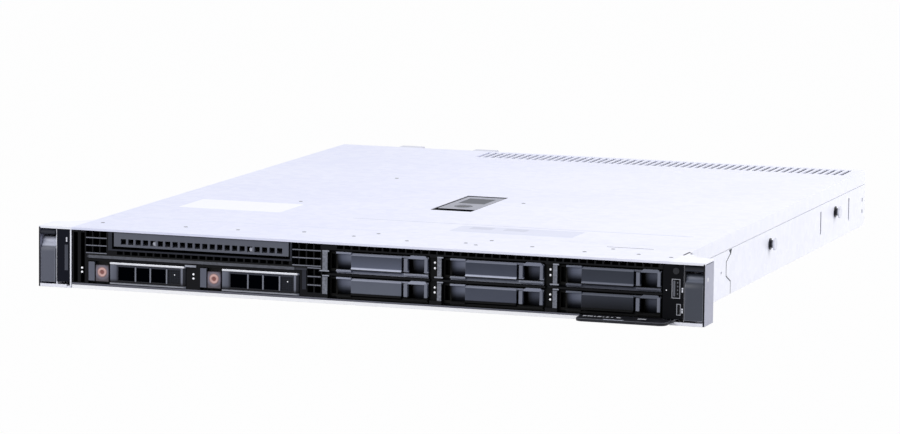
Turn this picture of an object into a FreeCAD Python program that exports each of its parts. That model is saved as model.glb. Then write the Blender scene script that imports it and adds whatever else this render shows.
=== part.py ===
import FreeCAD, Part
import os
import Sketcher

# A one-unit rack server for 19-inch racks, as separate pieces with running clearances.
# X runs across the machine (+X is the right-hand side of someone who faces the front),
# Y runs from the front to the rear and Z up. The origin is the middle of the pan's
# underside. Depths named "..._depth" or passed to at() are counted from the front face.

SIZES = {
    # whole machine
    "body_width": 434, "body_depth": 556.6, "unit_height": 42.8, "ears_width": 482,
    # sheet thicknesses and clearances
    "cover_sheet": 1.0, "pan_sheet": 1.2, "cage_sheet": 1.0, "seam": 0.4, "slide_gap": 0.3,
    "lid_gap": 0.2, "fit_gap": 0.05, "turn_gap": 0.3,
    # pan: walls, joint with the ear brackets, side slots and rear wall
    "wall_top": 31.9, "pan_setback": 1.5, "front_lip_height": 2.5,
    "joint_near": 143, "joint_far": 155, "joint_low": 9, "joint_slope": 5, "joint_high": 24,
    "slot_first_depth": 413.5, "slot_pitch": 89, "slot_width": 3, "slot_low": 9.6, "slot_high": 27,
    "notch_depth": 547, "notch_size": 3, "notch_low": 10, "notch_pitch": 9,
    "standoff_radius": 3, "standoff_height": 3, "standoff_inset": 8, "standoff_bay": 12,
    "cut_over": 1,
    # top: front plate and cover
    "plate_depth": 68, "shoulder_start": 24, "shoulder_out": 12, "shoulder_end": 44,
    "shoulder_radius": 10, "front_hem": 0.6, "hem_thickness": 1.2, "flange_height": 9.5,
    "vent_count": 52, "vent_pitch": 5.8, "vent_width": 3.3, "vent_length": 33,
    "vent_first_x": -91, "vent_start_depth": 517,
    # cover latch: tray, lever and lock
    "tray_left": -18.3, "tray_width": 31.6, "tray_depth": 191.7, "tray_length": 88.3,
    "tray_sheet": 0.8, "tray_drop": 4.8, "tray_rim": 3, "tray_rim_sheet": 0.8,
    "lever_setback": 13.3, "lever_thickness": 1.6, "lever_below_top": 0.3, "lever_gap": 0.5,
    "lever_barrel": 1.7, "lever_hinge_inset": 3.0, "lever_pin": 0.8, "lever_plate_depth": 46.3,
    "lever_plate_length": 30, "lever_plate_width": 20.6, "lever_plate_sink": 0.3,
    "cover_travel": 12,
    "lock_inset": 30, "lock_radius": 5, "lock_neck": 3, "lock_slot": 1.2, "lock_slot_sink": 0.5,
    "lock_cap": 0.75, "lock_tail": 0.6,
    # drive cage and its carrier bays
    "cage_front": 5, "cage_back": 112, "carrier_left": -203.75, "carrier_pitch": 83.6,
    "carrier_width": 72.95, "carrier_low": 4.3, "carrier_height": 15.45,
    # optical bay
    "optical_left": -184.8, "optical_width": 129.5, "optical_low": 30.9, "optical_high": 40.7,
    "optical_frame": 3.2, "optical_floor": 28.5, "optical_face": 1.5, "optical_reach": 24,
    "optical_gap": 1.3, "optical_sill": 1.9,
    "square_first": 5.05, "square_pitch": 5.52, "square_width": 4.0, "square_height": 4.0,
    "square_low": 1.45, "square_count": 22,
    # blank bays
    "blank_left": -26.2, "blank_width": 73, "blank_pitch": 82.2, "blank_low": 3.4,
    "row_pitch": 17.4, "blank_floor": 1.4, "blank_height": 15.0, "blank_sheet": 1.2,
    "blank_reach": 30, "blank_recess_left": 5.8, "blank_block_left": 16.6,
    "blank_block_right": 52.9, "blank_bar_left": 54.9, "blank_bar_width": 2.8,
    "blank_arch_left": 57.9, "blank_arch_right": 71.9, "blank_arch_top": 16.0,
    "blank_arch_bar": 2.4, "blank_grip": 5, "blank_block_low": 3.4, "blank_sub_low": 0.6,
    "blank_sub_high": 1.9, "blank_block_top": 14.8, "blank_chin": 4.4, "blank_round": 0.6,
    "blank_back": 4.8, "blank_front": 0.5, "arch_cut": 2.0, "blank_core": 9.5,
    "blank_brow": 1.3, "blank_lip": 0.8, "blank_web": 2.0, "blank_lip_set": 0.5,
    "blank_lip_low": 14.2, "blank_lip_high": 15.4, "blank_foot_high": 3.0,
    "scoop_low": 3.4, "scoop_high": 13.6, "scoop_depth": 10.5, "scoop_knee": 6.0,
    "scoop_brow": 3.4, "blank_slot": 5,
    # front grille
    "grille_left": -216.6, "grille_right": 211.4, "grille_low": 2.8, "grille_high": 41.0,
    "grille_face": 1.2, "grille_frame_gap": 0.3,
    "vent_square": 4.4, "vent_step": 5.6, "vent_row": 5.4, "left_vents_left": -205.8,
    "left_vents_low": 25.8, "mid_vents_left": -52.5, "mid_low_vents_left": -41.3,
    "mid_low_vents_low": 7.0, "mid_low_row": 5.9, "under_vents_left": -182.6,
    "under_vents_low": 25.2, "under_vents_height": 2.5, "under_vents_count": 23,
    "top_vents_left": -20, "top_vents_low": 38.2, "top_vents_height": 2.4,
    "top_vents_count": 41,
    "column_width": 3.0, "column_pitch": 5.3, "column_count": 2, "column_inset": 1.5,
    "post_width": 3.2, "post_low": 6.5, "post_lower_high": 18.6, "post_upper_low": 23,
    "post_high": 36, "post_tie_low": 20.2, "post_tie_high": 21.6, "post_tie_width": 6.6,
    "sunk_face": 4, "end_post_width": 4.1, "shelf_left": -205, "shelf_right": -41.7,
    "shelf_low": 22.3, "shelf_high": 24.7, "shelf_proud": 0.8, "trim_proud": 0.5,
    "bay_tab_left": -45, "bay_tab_width": 2.9, "bay_tab_low": 8.9, "optical_trim": 2.9,
    "optical_trim_low": 27.9, "grille_end_gap": 1,
    # ears, latches, panels and the information tag
    "ear_depth": 22, "ear_wall": 1.0, "mount_plate": 1.5, "ear_lip_height": 2.2,
    "ear_lip_start": 3, "rack_hole_x": 232.55, "rack_hole_z": 21.4,
    "rack_screw_radius": 2.5, "rack_screw_shoulder": 3.2,
    "rack_screw_proud": 0.3, "rack_screw_head": 3.8, "rack_screw_reach": 12,
    "rack_screw_head_length": 7, "left_partition": 228.5, "right_partition": 226.7,
    "partition": 0.8, "latch_side_gap": 0.3, "latch_low": 3.5, "latch_face": 0.3,
    "latch_plate": 3.0, "pivot_depth": 7.6, "pivot_height": 31, "pivot_radius": 1.5,
    "latch_barrel": 3.75, "hook_width": 4.5, "hook_low": 9, "hook_high": 14, "hook_reach": 25,
    "hook_tooth": 3, "hook_slot_low": 3.5, "hook_slot_high": 15, "hook_root": 2,
    "panel_face": 0.8, "panel_low": 4.1, "left_panel_inner": 218.3, "right_panel_inner": 211.8,
    "panel_depth": 19.5, "light_bar_inner": 219.2, "light_bar_width": 2.5,
    "light_bar_low": 12.25, "light_bar_high": 30.2, "light_bar_sink": 2.5, "proud": 0.3,
    "power_x": 220.8, "power_z": 36.6, "power_radius": 2.2, "power_travel": 0.8,
    "power_length": 8, "power_flange": 0.9, "usb_left": 217.9, "usb_width": 5.85,
    "usb_low": 18.1, "usb_high": 31.2, "usb_sheet": 0.4, "usb_length": 14, "usb_tongue": 1.9,
    "micro_left": 221.4, "micro_width": 2.9, "micro_low": 6.8, "micro_high": 14.5,
    "micro_length": 6, "micro_tongue": 0.6, "wall_edge_inner": 216.8,
    "tag_left": 155.5, "tag_right": 218.8, "tag_low": 1.5, "tag_thickness": 2.2,
    "tag_out": 17, "tag_head": 16, "tag_tail": 92, "tag_tail_left": 158, "tag_tail_right": 213,
    "tag_push": 14, "tag_side_gap": 1, "tag_tail_gap": 2,
    # drive carriers, from the carrier's own left edge, underside and front
    "pipe_width": 4.55, "pipe_low": 1.7, "pipe_high": 15.0, "button_left": 5.6,
    "button_width": 9.5, "button_low": 1.7, "button_high": 12.95, "button_face": 0.6,
    "button_travel": 1.8, "ring_radius": 2.9, "ring_width": 0.6,
    "ring_height": 0.3, "stem_radius": 1.2, "stem_length": 6, "carrier_face": 0.8,
    "carrier_plate_front": 5.6, "carrier_plate_back": 9, "ledge": 1.3, "handle_left": 16.25,
    "handle_face": 0.5, "handle_thickness": 2.8, "handle_barrel": 2.0, "handle_inset": 2.0,
    "handle_pin": 0.75, "handle_tab": 6.2, "window_low": 2.9, "window_high": 12.5,
    "window_one": 12.5, "window_two": 10.0, "window_three": 11.1, "window_four": 9.4,
    "window_rib": 1.1, "carrier_rail": 1.4, "rail_low": 1.0, "rail_high": 11,
    "rail_end": 115, "mesh_square": 2.0, "mesh_pitch": 2.7, "mesh_rows": 3, "mesh_count": 17,
    "drive_width": 69.85, "drive_length": 100.2, "drive_height": 15, "drive_start": 14,
    "drive_low": 0.2, "drive_round": 1.5,
    # backplane and fans
    "backplane_depth": 118, "board": 1.6, "backplane_high": 38, "connector_width": 42,
    "connector_height": 6, "backplane_vent": 6, "fan_count": 6, "fan_pitch": 66,
    "fan_depth": 155, "fan_length": 28, "fan_high": 40.4, "fan_bore": 18.6, "fan_tip": 17.2,
    "fan_hub": 8, "fan_shaft": 1.2, "fan_strut": 2.4, "blade_count": 7, "blade_root": 2.0,
    "blade_tip": 5.2, "blade_thickness": 1.4, "fan_centre": 20.8,
    "rotor_length": 14, "spider": 2.0,
    # inside
    "board_front": 205, "board_back": 548, "board_side": 212, "board_step": 365,
    "socket_height": 3.4, "socket_width": 6.5, "module_length": 133.3, "module_height": 28,
    "module_thickness": 1.2, "module_pitch": 9.4, "module_count": 6, "module_depth": 228,
    "module_first_x": -190, "module_bank_pitch": 174, "module_banks": 3, "sink_width": 78,
    "sink_length": 100, "sink_depth": 245, "sink_base": 4, "sink_height": 27, "sink_fin": 0.8,
    "sink_fin_count": 20, "sink_first_x": -118, "sink_pitch": 174, "chip_height": 3,
    "shroud_sheet": 1.2, "shroud_left": -125, "shroud_right": 152, "shroud_top": 40.6,
    "shroud_front": 200, "shroud_back": 352,
    # rear: expansion slots, ports and identification button
    "opening_left": 8, "opening_width": 80, "opening_low": 22.5, "opening_height": 17.5,
    "opening_pitch": 98, "cover_margin": 1.5, "cover_hole": 1.8, "cover_hole_pitch": 5,
    "cover_hole_count": 14, "port_left": -72, "port_width": 15.6, "port_height": 13,
    "port_pitch": 19, "port_low": 6.2, "port_count": 4, "port_length": 18, "port_sheet": 1.2,
    "usb_rear_left": 12, "usb_rear_width": 14.4, "usb_rear_height": 7, "usb_rear_pitch": 19,
    "video_recess": 3, "video_left": 56, "video_width": 31, "video_height": 12.5, "serial_left": 100,
    "id_x": 176, "id_z": 11, "id_radius": 2.2, "id_length": 9, "id_travel": 0.8, "id_flange": 0.9,
    "rear_vent_left": -82, "rear_vent_low": 24.5, "rear_vent_size": 4.5, "rear_vent_pitch": 6,
    "rear_vent_count": 14, "rear_vent_rows": 2,
    # power supplies
    "psu_left": -214.3, "psu_pitch": 63, "psu_width": 62, "psu_length": 185, "psu_high": 41.3,
    "psu_wall": 1.0, "psu_fan_x": 19.5, "psu_fan_bore": 16.5, "psu_fan_tip": 15.2,
    "psu_fan_hub": 7, "psu_fan_pocket": 17, "psu_rotor_length": 9, "psu_guard": 1.2,
    "psu_guard_bar": 1.4, "psu_guard_ring": 8.5, "inlet_left": 38.5, "inlet_width": 22.5,
    "inlet_low": 5.5, "inlet_height": 15, "inlet_sink": 17, "bail_x": 50, "bail_width": 18,
    "bail_reach": 25.2, "bail_low": 26, "bail_high": 41.5, "bail_bar": 2.6, "bail_round": 4,
    "release_left": 35.5, "release_width": 3.2, "release_low": 29, "release_height": 10,
    "release_reach": 9, "release_sink": 10, "release_travel": 1.5,
    # slide rail studs
    "stud_first_depth": 67.2, "stud_pitch": 196.4, "stud_height": 21.6, "stud_head": 4.5,
    "stud_neck": 2.8, "stud_neck_length": 2.6, "stud_head_thickness": 1.2, "stud_shank": 2.0,
    "stud_flange": 4.2, "stud_flange_thickness": 0.6,
    "bracket_hole_depth": 129.8, "bracket_hole_height": 18, "bracket_hole_radius": 1.2,
}

doc = FreeCAD.newDocument("RackServer")
sheet = doc.addObject("Spreadsheet::Sheet", "Sizes")
for line, (alias, number) in enumerate(SIZES.items(), 1):
    sheet.set(f"A{line}", alias)
    sheet.set(f"B{line}", str(number))
    sheet.setAlias(f"B{line}", alias)
doc.recompute()

PLANES = {"x": "YZ_Plane", "y": "XZ_Plane", "z": "XY_Plane"}
LINES = {"x": "X_Axis", "y": "Y_Axis", "z": "Z_Axis"}
VECTORS = {"x": FreeCAD.Vector(1, 0, 0), "y": FreeCAD.Vector(0, 1, 0), "z": FreeCAD.Vector(0, 0, 1)}
TURNS = {
    "x": FreeCAD.Rotation(VECTORS["y"], 90),
    "y": FreeCAD.Rotation(VECTORS["x"], -90),
    "z": FreeCAD.Rotation(),
}
nodes = {}


class Length:
    """A size of the sheet, or a formula of sizes, with the value that it has now."""

    def __init__(self, text, value):
        self.text = text
        self.value = value

    def __add__(self, other):
        return Length(f"({self.text} + {words(other)})", self.value + amount(other))

    def __radd__(self, other):
        return Length(f"({words(other)} + {self.text})", amount(other) + self.value)

    def __sub__(self, other):
        return Length(f"({self.text} - {words(other)})", self.value - amount(other))

    def __rsub__(self, other):
        return Length(f"({words(other)} - {self.text})", amount(other) - self.value)

    def __mul__(self, other):
        return Length(f"({self.text} * {words(other)})", self.value * amount(other))

    __rmul__ = __mul__

    def __truediv__(self, other):
        return Length(f"({self.text} / {words(other)})", self.value / amount(other))

    def __neg__(self):
        return Length(f"(-1 * {self.text})", -self.value)


def words(term):
    """The formula of a term."""
    return term.text if isinstance(term, Length) else str(term)


def amount(term):
    """The present value of a term."""
    return term.value if isinstance(term, Length) else float(term)


class Sizes:
    """The sheet's sizes by name."""

    def __getattr__(self, alias):
        return Length(f"Sizes.{alias}", float(sheet.get(alias)))


s = Sizes()
HALF = s.body_width / 2
HALF_EARS = s.ears_width / 2
FRONT = -s.body_depth / 2
REAR = s.body_depth / 2
UNDER_TOP = s.unit_height - s.cover_sheet
FLANGE_LOW = UNDER_TOP - s.flange_height
INNER = HALF - s.pan_sheet
LIP_TOP = UNDER_TOP - s.lid_gap
CAGE_HALF = INNER
CAGE_TOP = UNDER_TOP - s.lid_gap


def at(depth):
    """The Y place that lies this deep behind the front face."""
    return FRONT + depth


def bind(item, name, term):
    """Ties a property to a formula of the sheet."""
    item.setExpression(name, words(term))


def keep(node, item):
    """Names a finished sub-part."""
    item.Label = node
    nodes[node] = item
    return item


def place(item, x=0, y=0, z=0):
    """Puts a piece at a bound place."""
    for letter, term in zip("xyz", (x, y, z)):
        bind(item, f"Placement.Base.{letter}", term)


# ---------------------------------------------------------------- solids from primitives


def box(x, y, z):
    """A block between two limits along each axis."""
    block = doc.addObject("Part::Box", "Block")
    for name, (low, high) in zip(("Length", "Width", "Height"), (x, y, z)):
        bind(block, name, high - low)
    place(block, x[0], y[0], z[0])
    return block


def rod(axis, centre, radius, low, high):
    """A cylinder along an axis; centre holds the other two coordinates in axis order."""
    cylinder = doc.addObject("Part::Cylinder", "Rod")
    bind(cylinder, "Radius", radius)
    bind(cylinder, "Height", high - low)
    cylinder.Placement = FreeCAD.Placement(FreeCAD.Vector(), TURNS[axis])
    spot = list(centre)
    spot.insert("xyz".index(axis), low)
    place(cylinder, *spot)
    return cylinder


def fuse(*pieces):
    """One solid of several."""
    union = doc.addObject("Part::MultiFuse", "Union")
    union.Shapes = list(pieces)
    union.Refine = True
    return union


def cut(base, *tools):
    """A solid with others taken out of it."""
    result = doc.addObject("Part::Cut", "Remainder")
    result.Base = base
    result.Tool = tools[0] if len(tools) == 1 else fuse(*tools)
    return result


def group(*pieces):
    """Separate solids that share a node."""
    compound = doc.addObject("Part::Compound", "Group")
    compound.Links = list(pieces)
    return compound


# ---------------------------------------------------------------- solids from sketches


def new_body(node):
    """An empty body that will be the node's piece."""
    return keep(node, doc.addObject("PartDesign::Body", node))


def origin_of(body, role):
    """One of the body's own origin planes or axes."""
    return next(item for item in body.Origin.OriginFeatures if item.Role == role)


def rect(u0, u1, v0, v1):
    """The corners of an upright rectangle."""
    return [(u0, v0), (u1, v0), (u1, v1), (u0, v1)]


class Circle:
    """A round loop in a sketch."""

    def __init__(self, u, v, radius):
        self.u, self.v, self.radius = u, v, radius


def sketch(body, axis, level, loops):
    """A sketch square to an axis at a bound level, with every point and radius bound.

    Its two directions are the other axes in order: Y and Z, X and Z, or X and Y."""
    drawing = body.newObject("Sketcher::SketchObject", "Profile")
    drawing.AttachmentSupport = [(origin_of(body, PLANES[axis]), "")]
    drawing.MapMode = "FlatFace"
    bind(drawing, "AttachmentOffset.Base.z", -level if axis == "y" else level)
    formulas = []
    for loop in loops:
        first = drawing.GeometryCount
        if isinstance(loop, Circle):
            centre = FreeCAD.Vector(amount(loop.u), amount(loop.v), 0)
            drawing.addGeometry(Part.Circle(centre, VECTORS["z"], amount(loop.radius)))
            rules = [
                Sketcher.Constraint("DistanceX", -1, 1, first, 3, amount(loop.u)),
                Sketcher.Constraint("DistanceY", -1, 1, first, 3, amount(loop.v)),
                Sketcher.Constraint("Radius", first, amount(loop.radius)),
            ]
            start = drawing.ConstraintCount
            drawing.addConstraint(rules)
            formulas += zip(range(start, start + 3), (loop.u, loop.v, loop.radius))
            continue
        points = [FreeCAD.Vector(amount(u), amount(v), 0) for u, v in loop]
        count = len(points)
        drawing.addGeometry([Part.LineSegment(points[i], points[(i + 1) % count]) for i in range(count)])
        ties = [Sketcher.Constraint("Coincident", first + i, 2, first + (i + 1) % count, 1)
                for i in range(count)]
        drawing.addConstraint(ties)
        start = drawing.ConstraintCount
        rules = []
        for i, (u, v) in enumerate(loop):
            rules.append(Sketcher.Constraint("DistanceX", -1, 1, first + i, 1, amount(u)))
            rules.append(Sketcher.Constraint("DistanceY", -1, 1, first + i, 1, amount(v)))
            formulas += [(start + 2 * i, u), (start + 2 * i + 1, v)]
        drawing.addConstraint(rules)
    for number, term in formulas:
        if isinstance(term, Length):
            bind(drawing, f"Constraints[{number}]", term)
    return drawing


def pad(body, axis, low, high, *loops):
    """Material between two levels along an axis."""
    feature = body.newObject("PartDesign::Pad", "Pad")
    feature.Profile = sketch(body, axis, low, loops)
    bind(feature, "Length", high - low)
    feature.Reversed = axis == "y"
    body.Tip = feature
    return feature


def pocket(body, axis, low, high, *loops):
    """A cut between two levels along an axis."""
    feature = body.newObject("PartDesign::Pocket", "Pocket")
    feature.Profile = sketch(body, axis, low, loops)
    bind(feature, "Length", high - low)
    feature.Reversed = axis != "y"
    body.Tip = feature
    return feature


def row(body, feature, axis, pitch, count):
    """Copies of a feature in a row, the first included."""
    pattern = body.newObject("PartDesign::LinearPattern", "Row")
    pattern.Originals = [feature]
    pattern.Direction = (origin_of(body, LINES[axis]), [""])
    bind(pattern, "Length", pitch * (count - 1))
    bind(pattern, "Occurrences", count)
    body.Tip = pattern
    return pattern


def round_edges(body, axis, radius, where, kind="Fillet"):
    """Rounds (or chamfers) the straight edges along an axis whose middle passes a test."""
    doc.recompute()
    base = body.Tip
    names = []
    for number, edge in enumerate(base.Shape.Edges, 1):
        straight = edge.Curve.TypeId == "Part::GeomLine"
        if straight and abs(edge.tangentAt(edge.FirstParameter).dot(VECTORS[axis])) > 0.999:
            if where(edge.CenterOfMass):
                names.append(f"Edge{number}")
    if not names:
        raise RuntimeError(f"{body.Label}: no edge to round")
    feature = body.newObject(f"PartDesign::{kind}", kind)
    feature.Base = (base, names)
    bind(feature, "Radius" if kind == "Fillet" else "Size", radius)
    body.Tip = feature
    return feature


def near(value, term):
    """Whether a coordinate lies at a bound place."""
    return abs(value - amount(term)) < 0.01


def both_sides(points):
    """An outline's right half, from the middle outwards and back, with its mirror image."""
    return points + [(-u, v) for u, v in reversed(points)]


# ---------------------------------------------------------------- sheet metal


def joint_line(shift):
    """The toothed edge between an ear bracket and the pan's wall, from the floor up."""
    near_edge = at(s.joint_near) + shift
    far_edge = at(s.joint_far) + shift
    return [
        (far_edge, s.joint_low),
        (near_edge, s.joint_low + s.joint_slope),
        (near_edge, s.joint_high),
        (far_edge, s.joint_high + s.joint_slope),
    ]


def wall_inside():
    """The inner line of a side wall, from the floor to the top of its inset lip."""
    lip_inside = HALF - s.cover_sheet - s.lid_gap - s.pan_sheet
    shoulder = s.wall_top - s.pan_sheet
    return [(INNER, s.pan_sheet), (INNER, shoulder), (lip_inside, shoulder), (lip_inside, LIP_TOP)]


def chassis_pan():
    """Floor, side walls with inset lips, the supply bay's wall and standoffs."""
    body = new_body("chassis_pan")
    lip = HALF - s.cover_sheet - s.lid_gap
    half = wall_inside() + [(lip, LIP_TOP), (lip, s.wall_top), (HALF, s.wall_top), (HALF, 0)]
    pad(body, "y", at(s.pan_setback), REAR, both_sides(half))
    # The walls start behind the ear brackets, and the floor is narrower between them.
    start = at(s.pan_setback) - s.cut_over
    edge = at(s.joint_far) + s.seam
    top = s.unit_height
    outline = [(start, s.pan_sheet), (edge, s.pan_sheet)] + joint_line(s.seam) + [(edge, top), (start, top)]
    pocket(body, "x", -HALF, HALF, outline)
    pocket(body, "z", -s.cut_over, s.pan_sheet, *[
        rect(*sorted((side * INNER, side * (HALF + s.cut_over)), key=amount), start, edge)
        for side in (-1, 1)])
    pad(body, "y", at(s.pan_setback), at(s.pan_setback) + s.pan_sheet,
        rect(-INNER + s.seam, s.tag_left - s.tag_side_gap, s.pan_sheet, s.front_lip_height))
    # The bay wall beside the power supplies.
    bay_wall = supply_bay_edge()
    pad(body, "x", bay_wall, bay_wall + s.psu_wall,
        rect(REAR - s.psu_length, REAR - s.pan_sheet, s.pan_sheet, LIP_TOP))
    # Side slots, rear notches and the holes of the rail studs.
    slots = [rect(at(s.slot_first_depth + i * s.slot_pitch), at(s.slot_first_depth + i * s.slot_pitch) +
                  s.slot_width, s.slot_low, s.slot_high) for i in range(2)]
    notches = [rect(at(s.notch_depth), at(s.notch_depth) + s.notch_size, s.notch_low + i * s.notch_pitch,
                    s.notch_low + i * s.notch_pitch + s.notch_size) for i in range(2)]
    studs = [Circle(at(s.stud_first_depth + i * s.stud_pitch), s.stud_height, s.stud_shank)
             for i in (1, 2)]
    for low, high in ((-HALF, -INNER), (INNER, HALF)):
        pocket(body, "x", low, high, *slots, *notches, *studs)
    inset = s.standoff_inset
    spots = [(x, y) for x in (s.board_side - inset, -s.board_side + inset)
             for y in (at(s.board_front) + inset, at(s.board_step) - inset)]
    spots += [(x, at(s.board_back) - inset) for x in (s.board_side - inset, bay_wall + s.standoff_bay)]
    pad(body, "z", s.pan_sheet, s.pan_sheet + s.standoff_height,
        *[Circle(x, y, s.standoff_radius) for x, y in spots])


def supply_bay_edge():
    """The inner edge of the opening that takes both power supplies."""
    return s.psu_left + s.psu_pitch + s.psu_width + s.slide_gap


def rear_panel():
    """The rear wall, welded into the pan, with openings for slots, ports, vents and button."""
    body = new_body("rear_panel")
    low, high = REAR - s.pan_sheet, REAR
    edge = supply_bay_edge()
    pad(body, "y", low, high, [(edge, s.pan_sheet)] + wall_inside() + [(edge, LIP_TOP)])
    loops = [rect(x, x + width, s.opening_low, s.opening_low + s.opening_height)
             for x, width in slot_places()]
    for x, width, height in network_places() + usb_places() + video_places():
        loops.append(rect(x, x + width, s.port_low, s.port_low + height))
    loops.append(Circle(s.id_x, s.id_z, s.id_radius + s.fit_gap))
    pocket(body, "y", low, high, *loops)
    vents = [rect(s.rear_vent_left, s.rear_vent_left + s.rear_vent_size,
                  s.rear_vent_low + i * s.rear_vent_pitch,
                  s.rear_vent_low + i * s.rear_vent_pitch + s.rear_vent_size)
             for i in range(int(s.rear_vent_rows.value))]
    row(body, pocket(body, "y", low, high, *vents), "x", s.rear_vent_pitch, s.rear_vent_count)


def slot_places():
    """Left edge and width of each expansion slot's opening."""
    return [(s.opening_left + i * s.opening_pitch, s.opening_width) for i in range(2)]


def network_places():
    """Left edge, width and height of each network port."""
    return [(s.port_left + i * s.port_pitch, s.port_width, s.port_height)
            for i in range(int(s.port_count.value))]


def usb_places():
    """Left edge, width and height of each rear USB port."""
    return [(s.usb_rear_left + i * s.usb_rear_pitch, s.usb_rear_width, s.usb_rear_height)
            for i in range(2)]


def video_places():
    """Left edge, width and height of the video and serial ports."""
    return [(x, s.video_width, s.video_height) for x in (s.video_left, s.serial_left)]


def front_top_plate():
    """The fixed plate over the drives, which also covers both ears."""
    body = new_body("front_top_plate")
    half = [
        (HALF, at(s.plate_depth)), (HALF, at(s.shoulder_end)),
        (HALF + s.shoulder_out, at(s.shoulder_start) + s.shoulder_out / 3),
        (HALF_EARS, at(s.shoulder_start)), (HALF_EARS, FRONT),
    ]
    pad(body, "z", UNDER_TOP, s.unit_height, both_sides(half))
    round_edges(body, "z", s.shoulder_radius,
                lambda p: near(abs(p.x), HALF) and near(p.y, at(s.shoulder_end)))
    pad(body, "y", FRONT, FRONT + s.hem_thickness,
        rect(-HALF_EARS, HALF_EARS, UNDER_TOP - s.front_hem, UNDER_TOP))
    pad(body, "y", at(s.shoulder_end) + s.shoulder_radius, at(s.plate_depth), *[
        rect(*sorted((side * (HALF - s.cover_sheet), side * HALF), key=amount), FLANGE_LOW, UNDER_TOP)
        for side in (-1, 1)])


def top_cover():
    """The sliding cover: a shallow channel with rear vents and a hole for the latch tray."""
    body = new_body("top_cover")
    half = [
        (HALF - s.cover_sheet, UNDER_TOP), (HALF - s.cover_sheet, FLANGE_LOW), (HALF, FLANGE_LOW),
        (HALF, s.unit_height),
    ]
    pad(body, "y", at(s.plate_depth) + s.seam, REAR, both_sides(half))
    pocket(body, "z", UNDER_TOP, s.unit_height, rect(
        s.tray_left, s.tray_left + s.tray_width, at(s.tray_depth), at(s.tray_depth + s.tray_length)))
    first = pocket(body, "z", UNDER_TOP, s.unit_height, rect(
        s.vent_first_x, s.vent_first_x + s.vent_width,
        at(s.vent_start_depth), at(s.vent_start_depth + s.vent_length)))
    row(body, first, "x", s.vent_pitch, s.vent_count)


def cover_latch():
    """Tray, lever and lock of the cover latch."""
    left = s.tray_left + s.lid_gap
    right = s.tray_left + s.tray_width - s.lid_gap
    start = at(s.tray_depth) + s.lid_gap
    end = at(s.tray_depth + s.tray_length) - s.lid_gap
    low = s.unit_height - s.tray_drop
    inside = (left + s.tray_sheet, right - s.tray_sheet)
    lever_top = s.unit_height - s.lever_below_top
    lever_under = lever_top - s.lever_thickness
    hinge_y = end - s.tray_sheet - s.lever_hinge_inset
    hinge_z = lever_top - s.lever_barrel

    tray = new_body("cover_latch_base")
    pad(tray, "z", low, UNDER_TOP + s.cover_sheet - s.lid_gap, rect(left, right, start, end))
    pad(tray, "z", UNDER_TOP - s.tray_rim_sheet, UNDER_TOP,
        rect(left - s.tray_rim, right + s.tray_rim, start - s.tray_rim, end + s.tray_rim))
    pocket(tray, "z", low + s.tray_sheet, s.unit_height,
           rect(*inside, start + s.tray_sheet, end - s.tray_sheet))
    pad(tray, "x", *inside, Circle(hinge_y, hinge_z, s.lever_pin))

    lever = new_body("cover_latch_lever")
    lever_front = at(s.tray_depth) + s.lever_setback
    sides = (inside[0] + s.lever_gap, inside[1] - s.lever_gap)
    pad(lever, "x", *sides, Circle(hinge_y, hinge_z, s.lever_barrel))
    pad(lever, "x", *sides, rect(lever_front, hinge_y, lever_under, lever_top))
    pocket(lever, "x", *sides, Circle(hinge_y, hinge_z, s.lever_pin + s.fit_gap))
    lock_x = s.tray_left + s.tray_width / 2
    lock_y = at(s.tray_depth + s.lock_inset)
    step = lever_top - s.lock_cap
    pocket(lever, "z", step - s.fit_gap, lever_top, Circle(lock_x, lock_y, s.lock_radius + s.turn_gap))
    pocket(lever, "z", lever_under, step - s.fit_gap, Circle(lock_x, lock_y, s.lock_neck + s.fit_gap))
    plate_left = lock_x - s.lever_plate_width / 2
    plate_start = at(s.tray_depth + s.lever_plate_depth)
    pocket(lever, "z", lever_top - s.lever_plate_sink, lever_top, rect(
        plate_left, plate_left + s.lever_plate_width, plate_start, plate_start + s.lever_plate_length))

    lock = new_body("cover_lock_screw")
    pad(lock, "z", step, lever_top, Circle(lock_x, lock_y, s.lock_radius))
    pad(lock, "z", lever_under - s.lock_tail, step, Circle(lock_x, lock_y, s.lock_neck))
    pocket(lock, "z", lever_top - s.lock_slot_sink, lever_top, rect(
        lock_x - s.lock_radius * 0.8, lock_x + s.lock_radius * 0.8,
        lock_y - s.lock_slot / 2, lock_y + s.lock_slot / 2))


# ---------------------------------------------------------------- front: cage and grille


def carrier_place(index):
    """The left edge of a drive carrier."""
    return s.carrier_left + index * s.carrier_pitch


def blank_place(column):
    """The left edge of a drive blank."""
    return s.blank_left + column * s.blank_pitch


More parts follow.
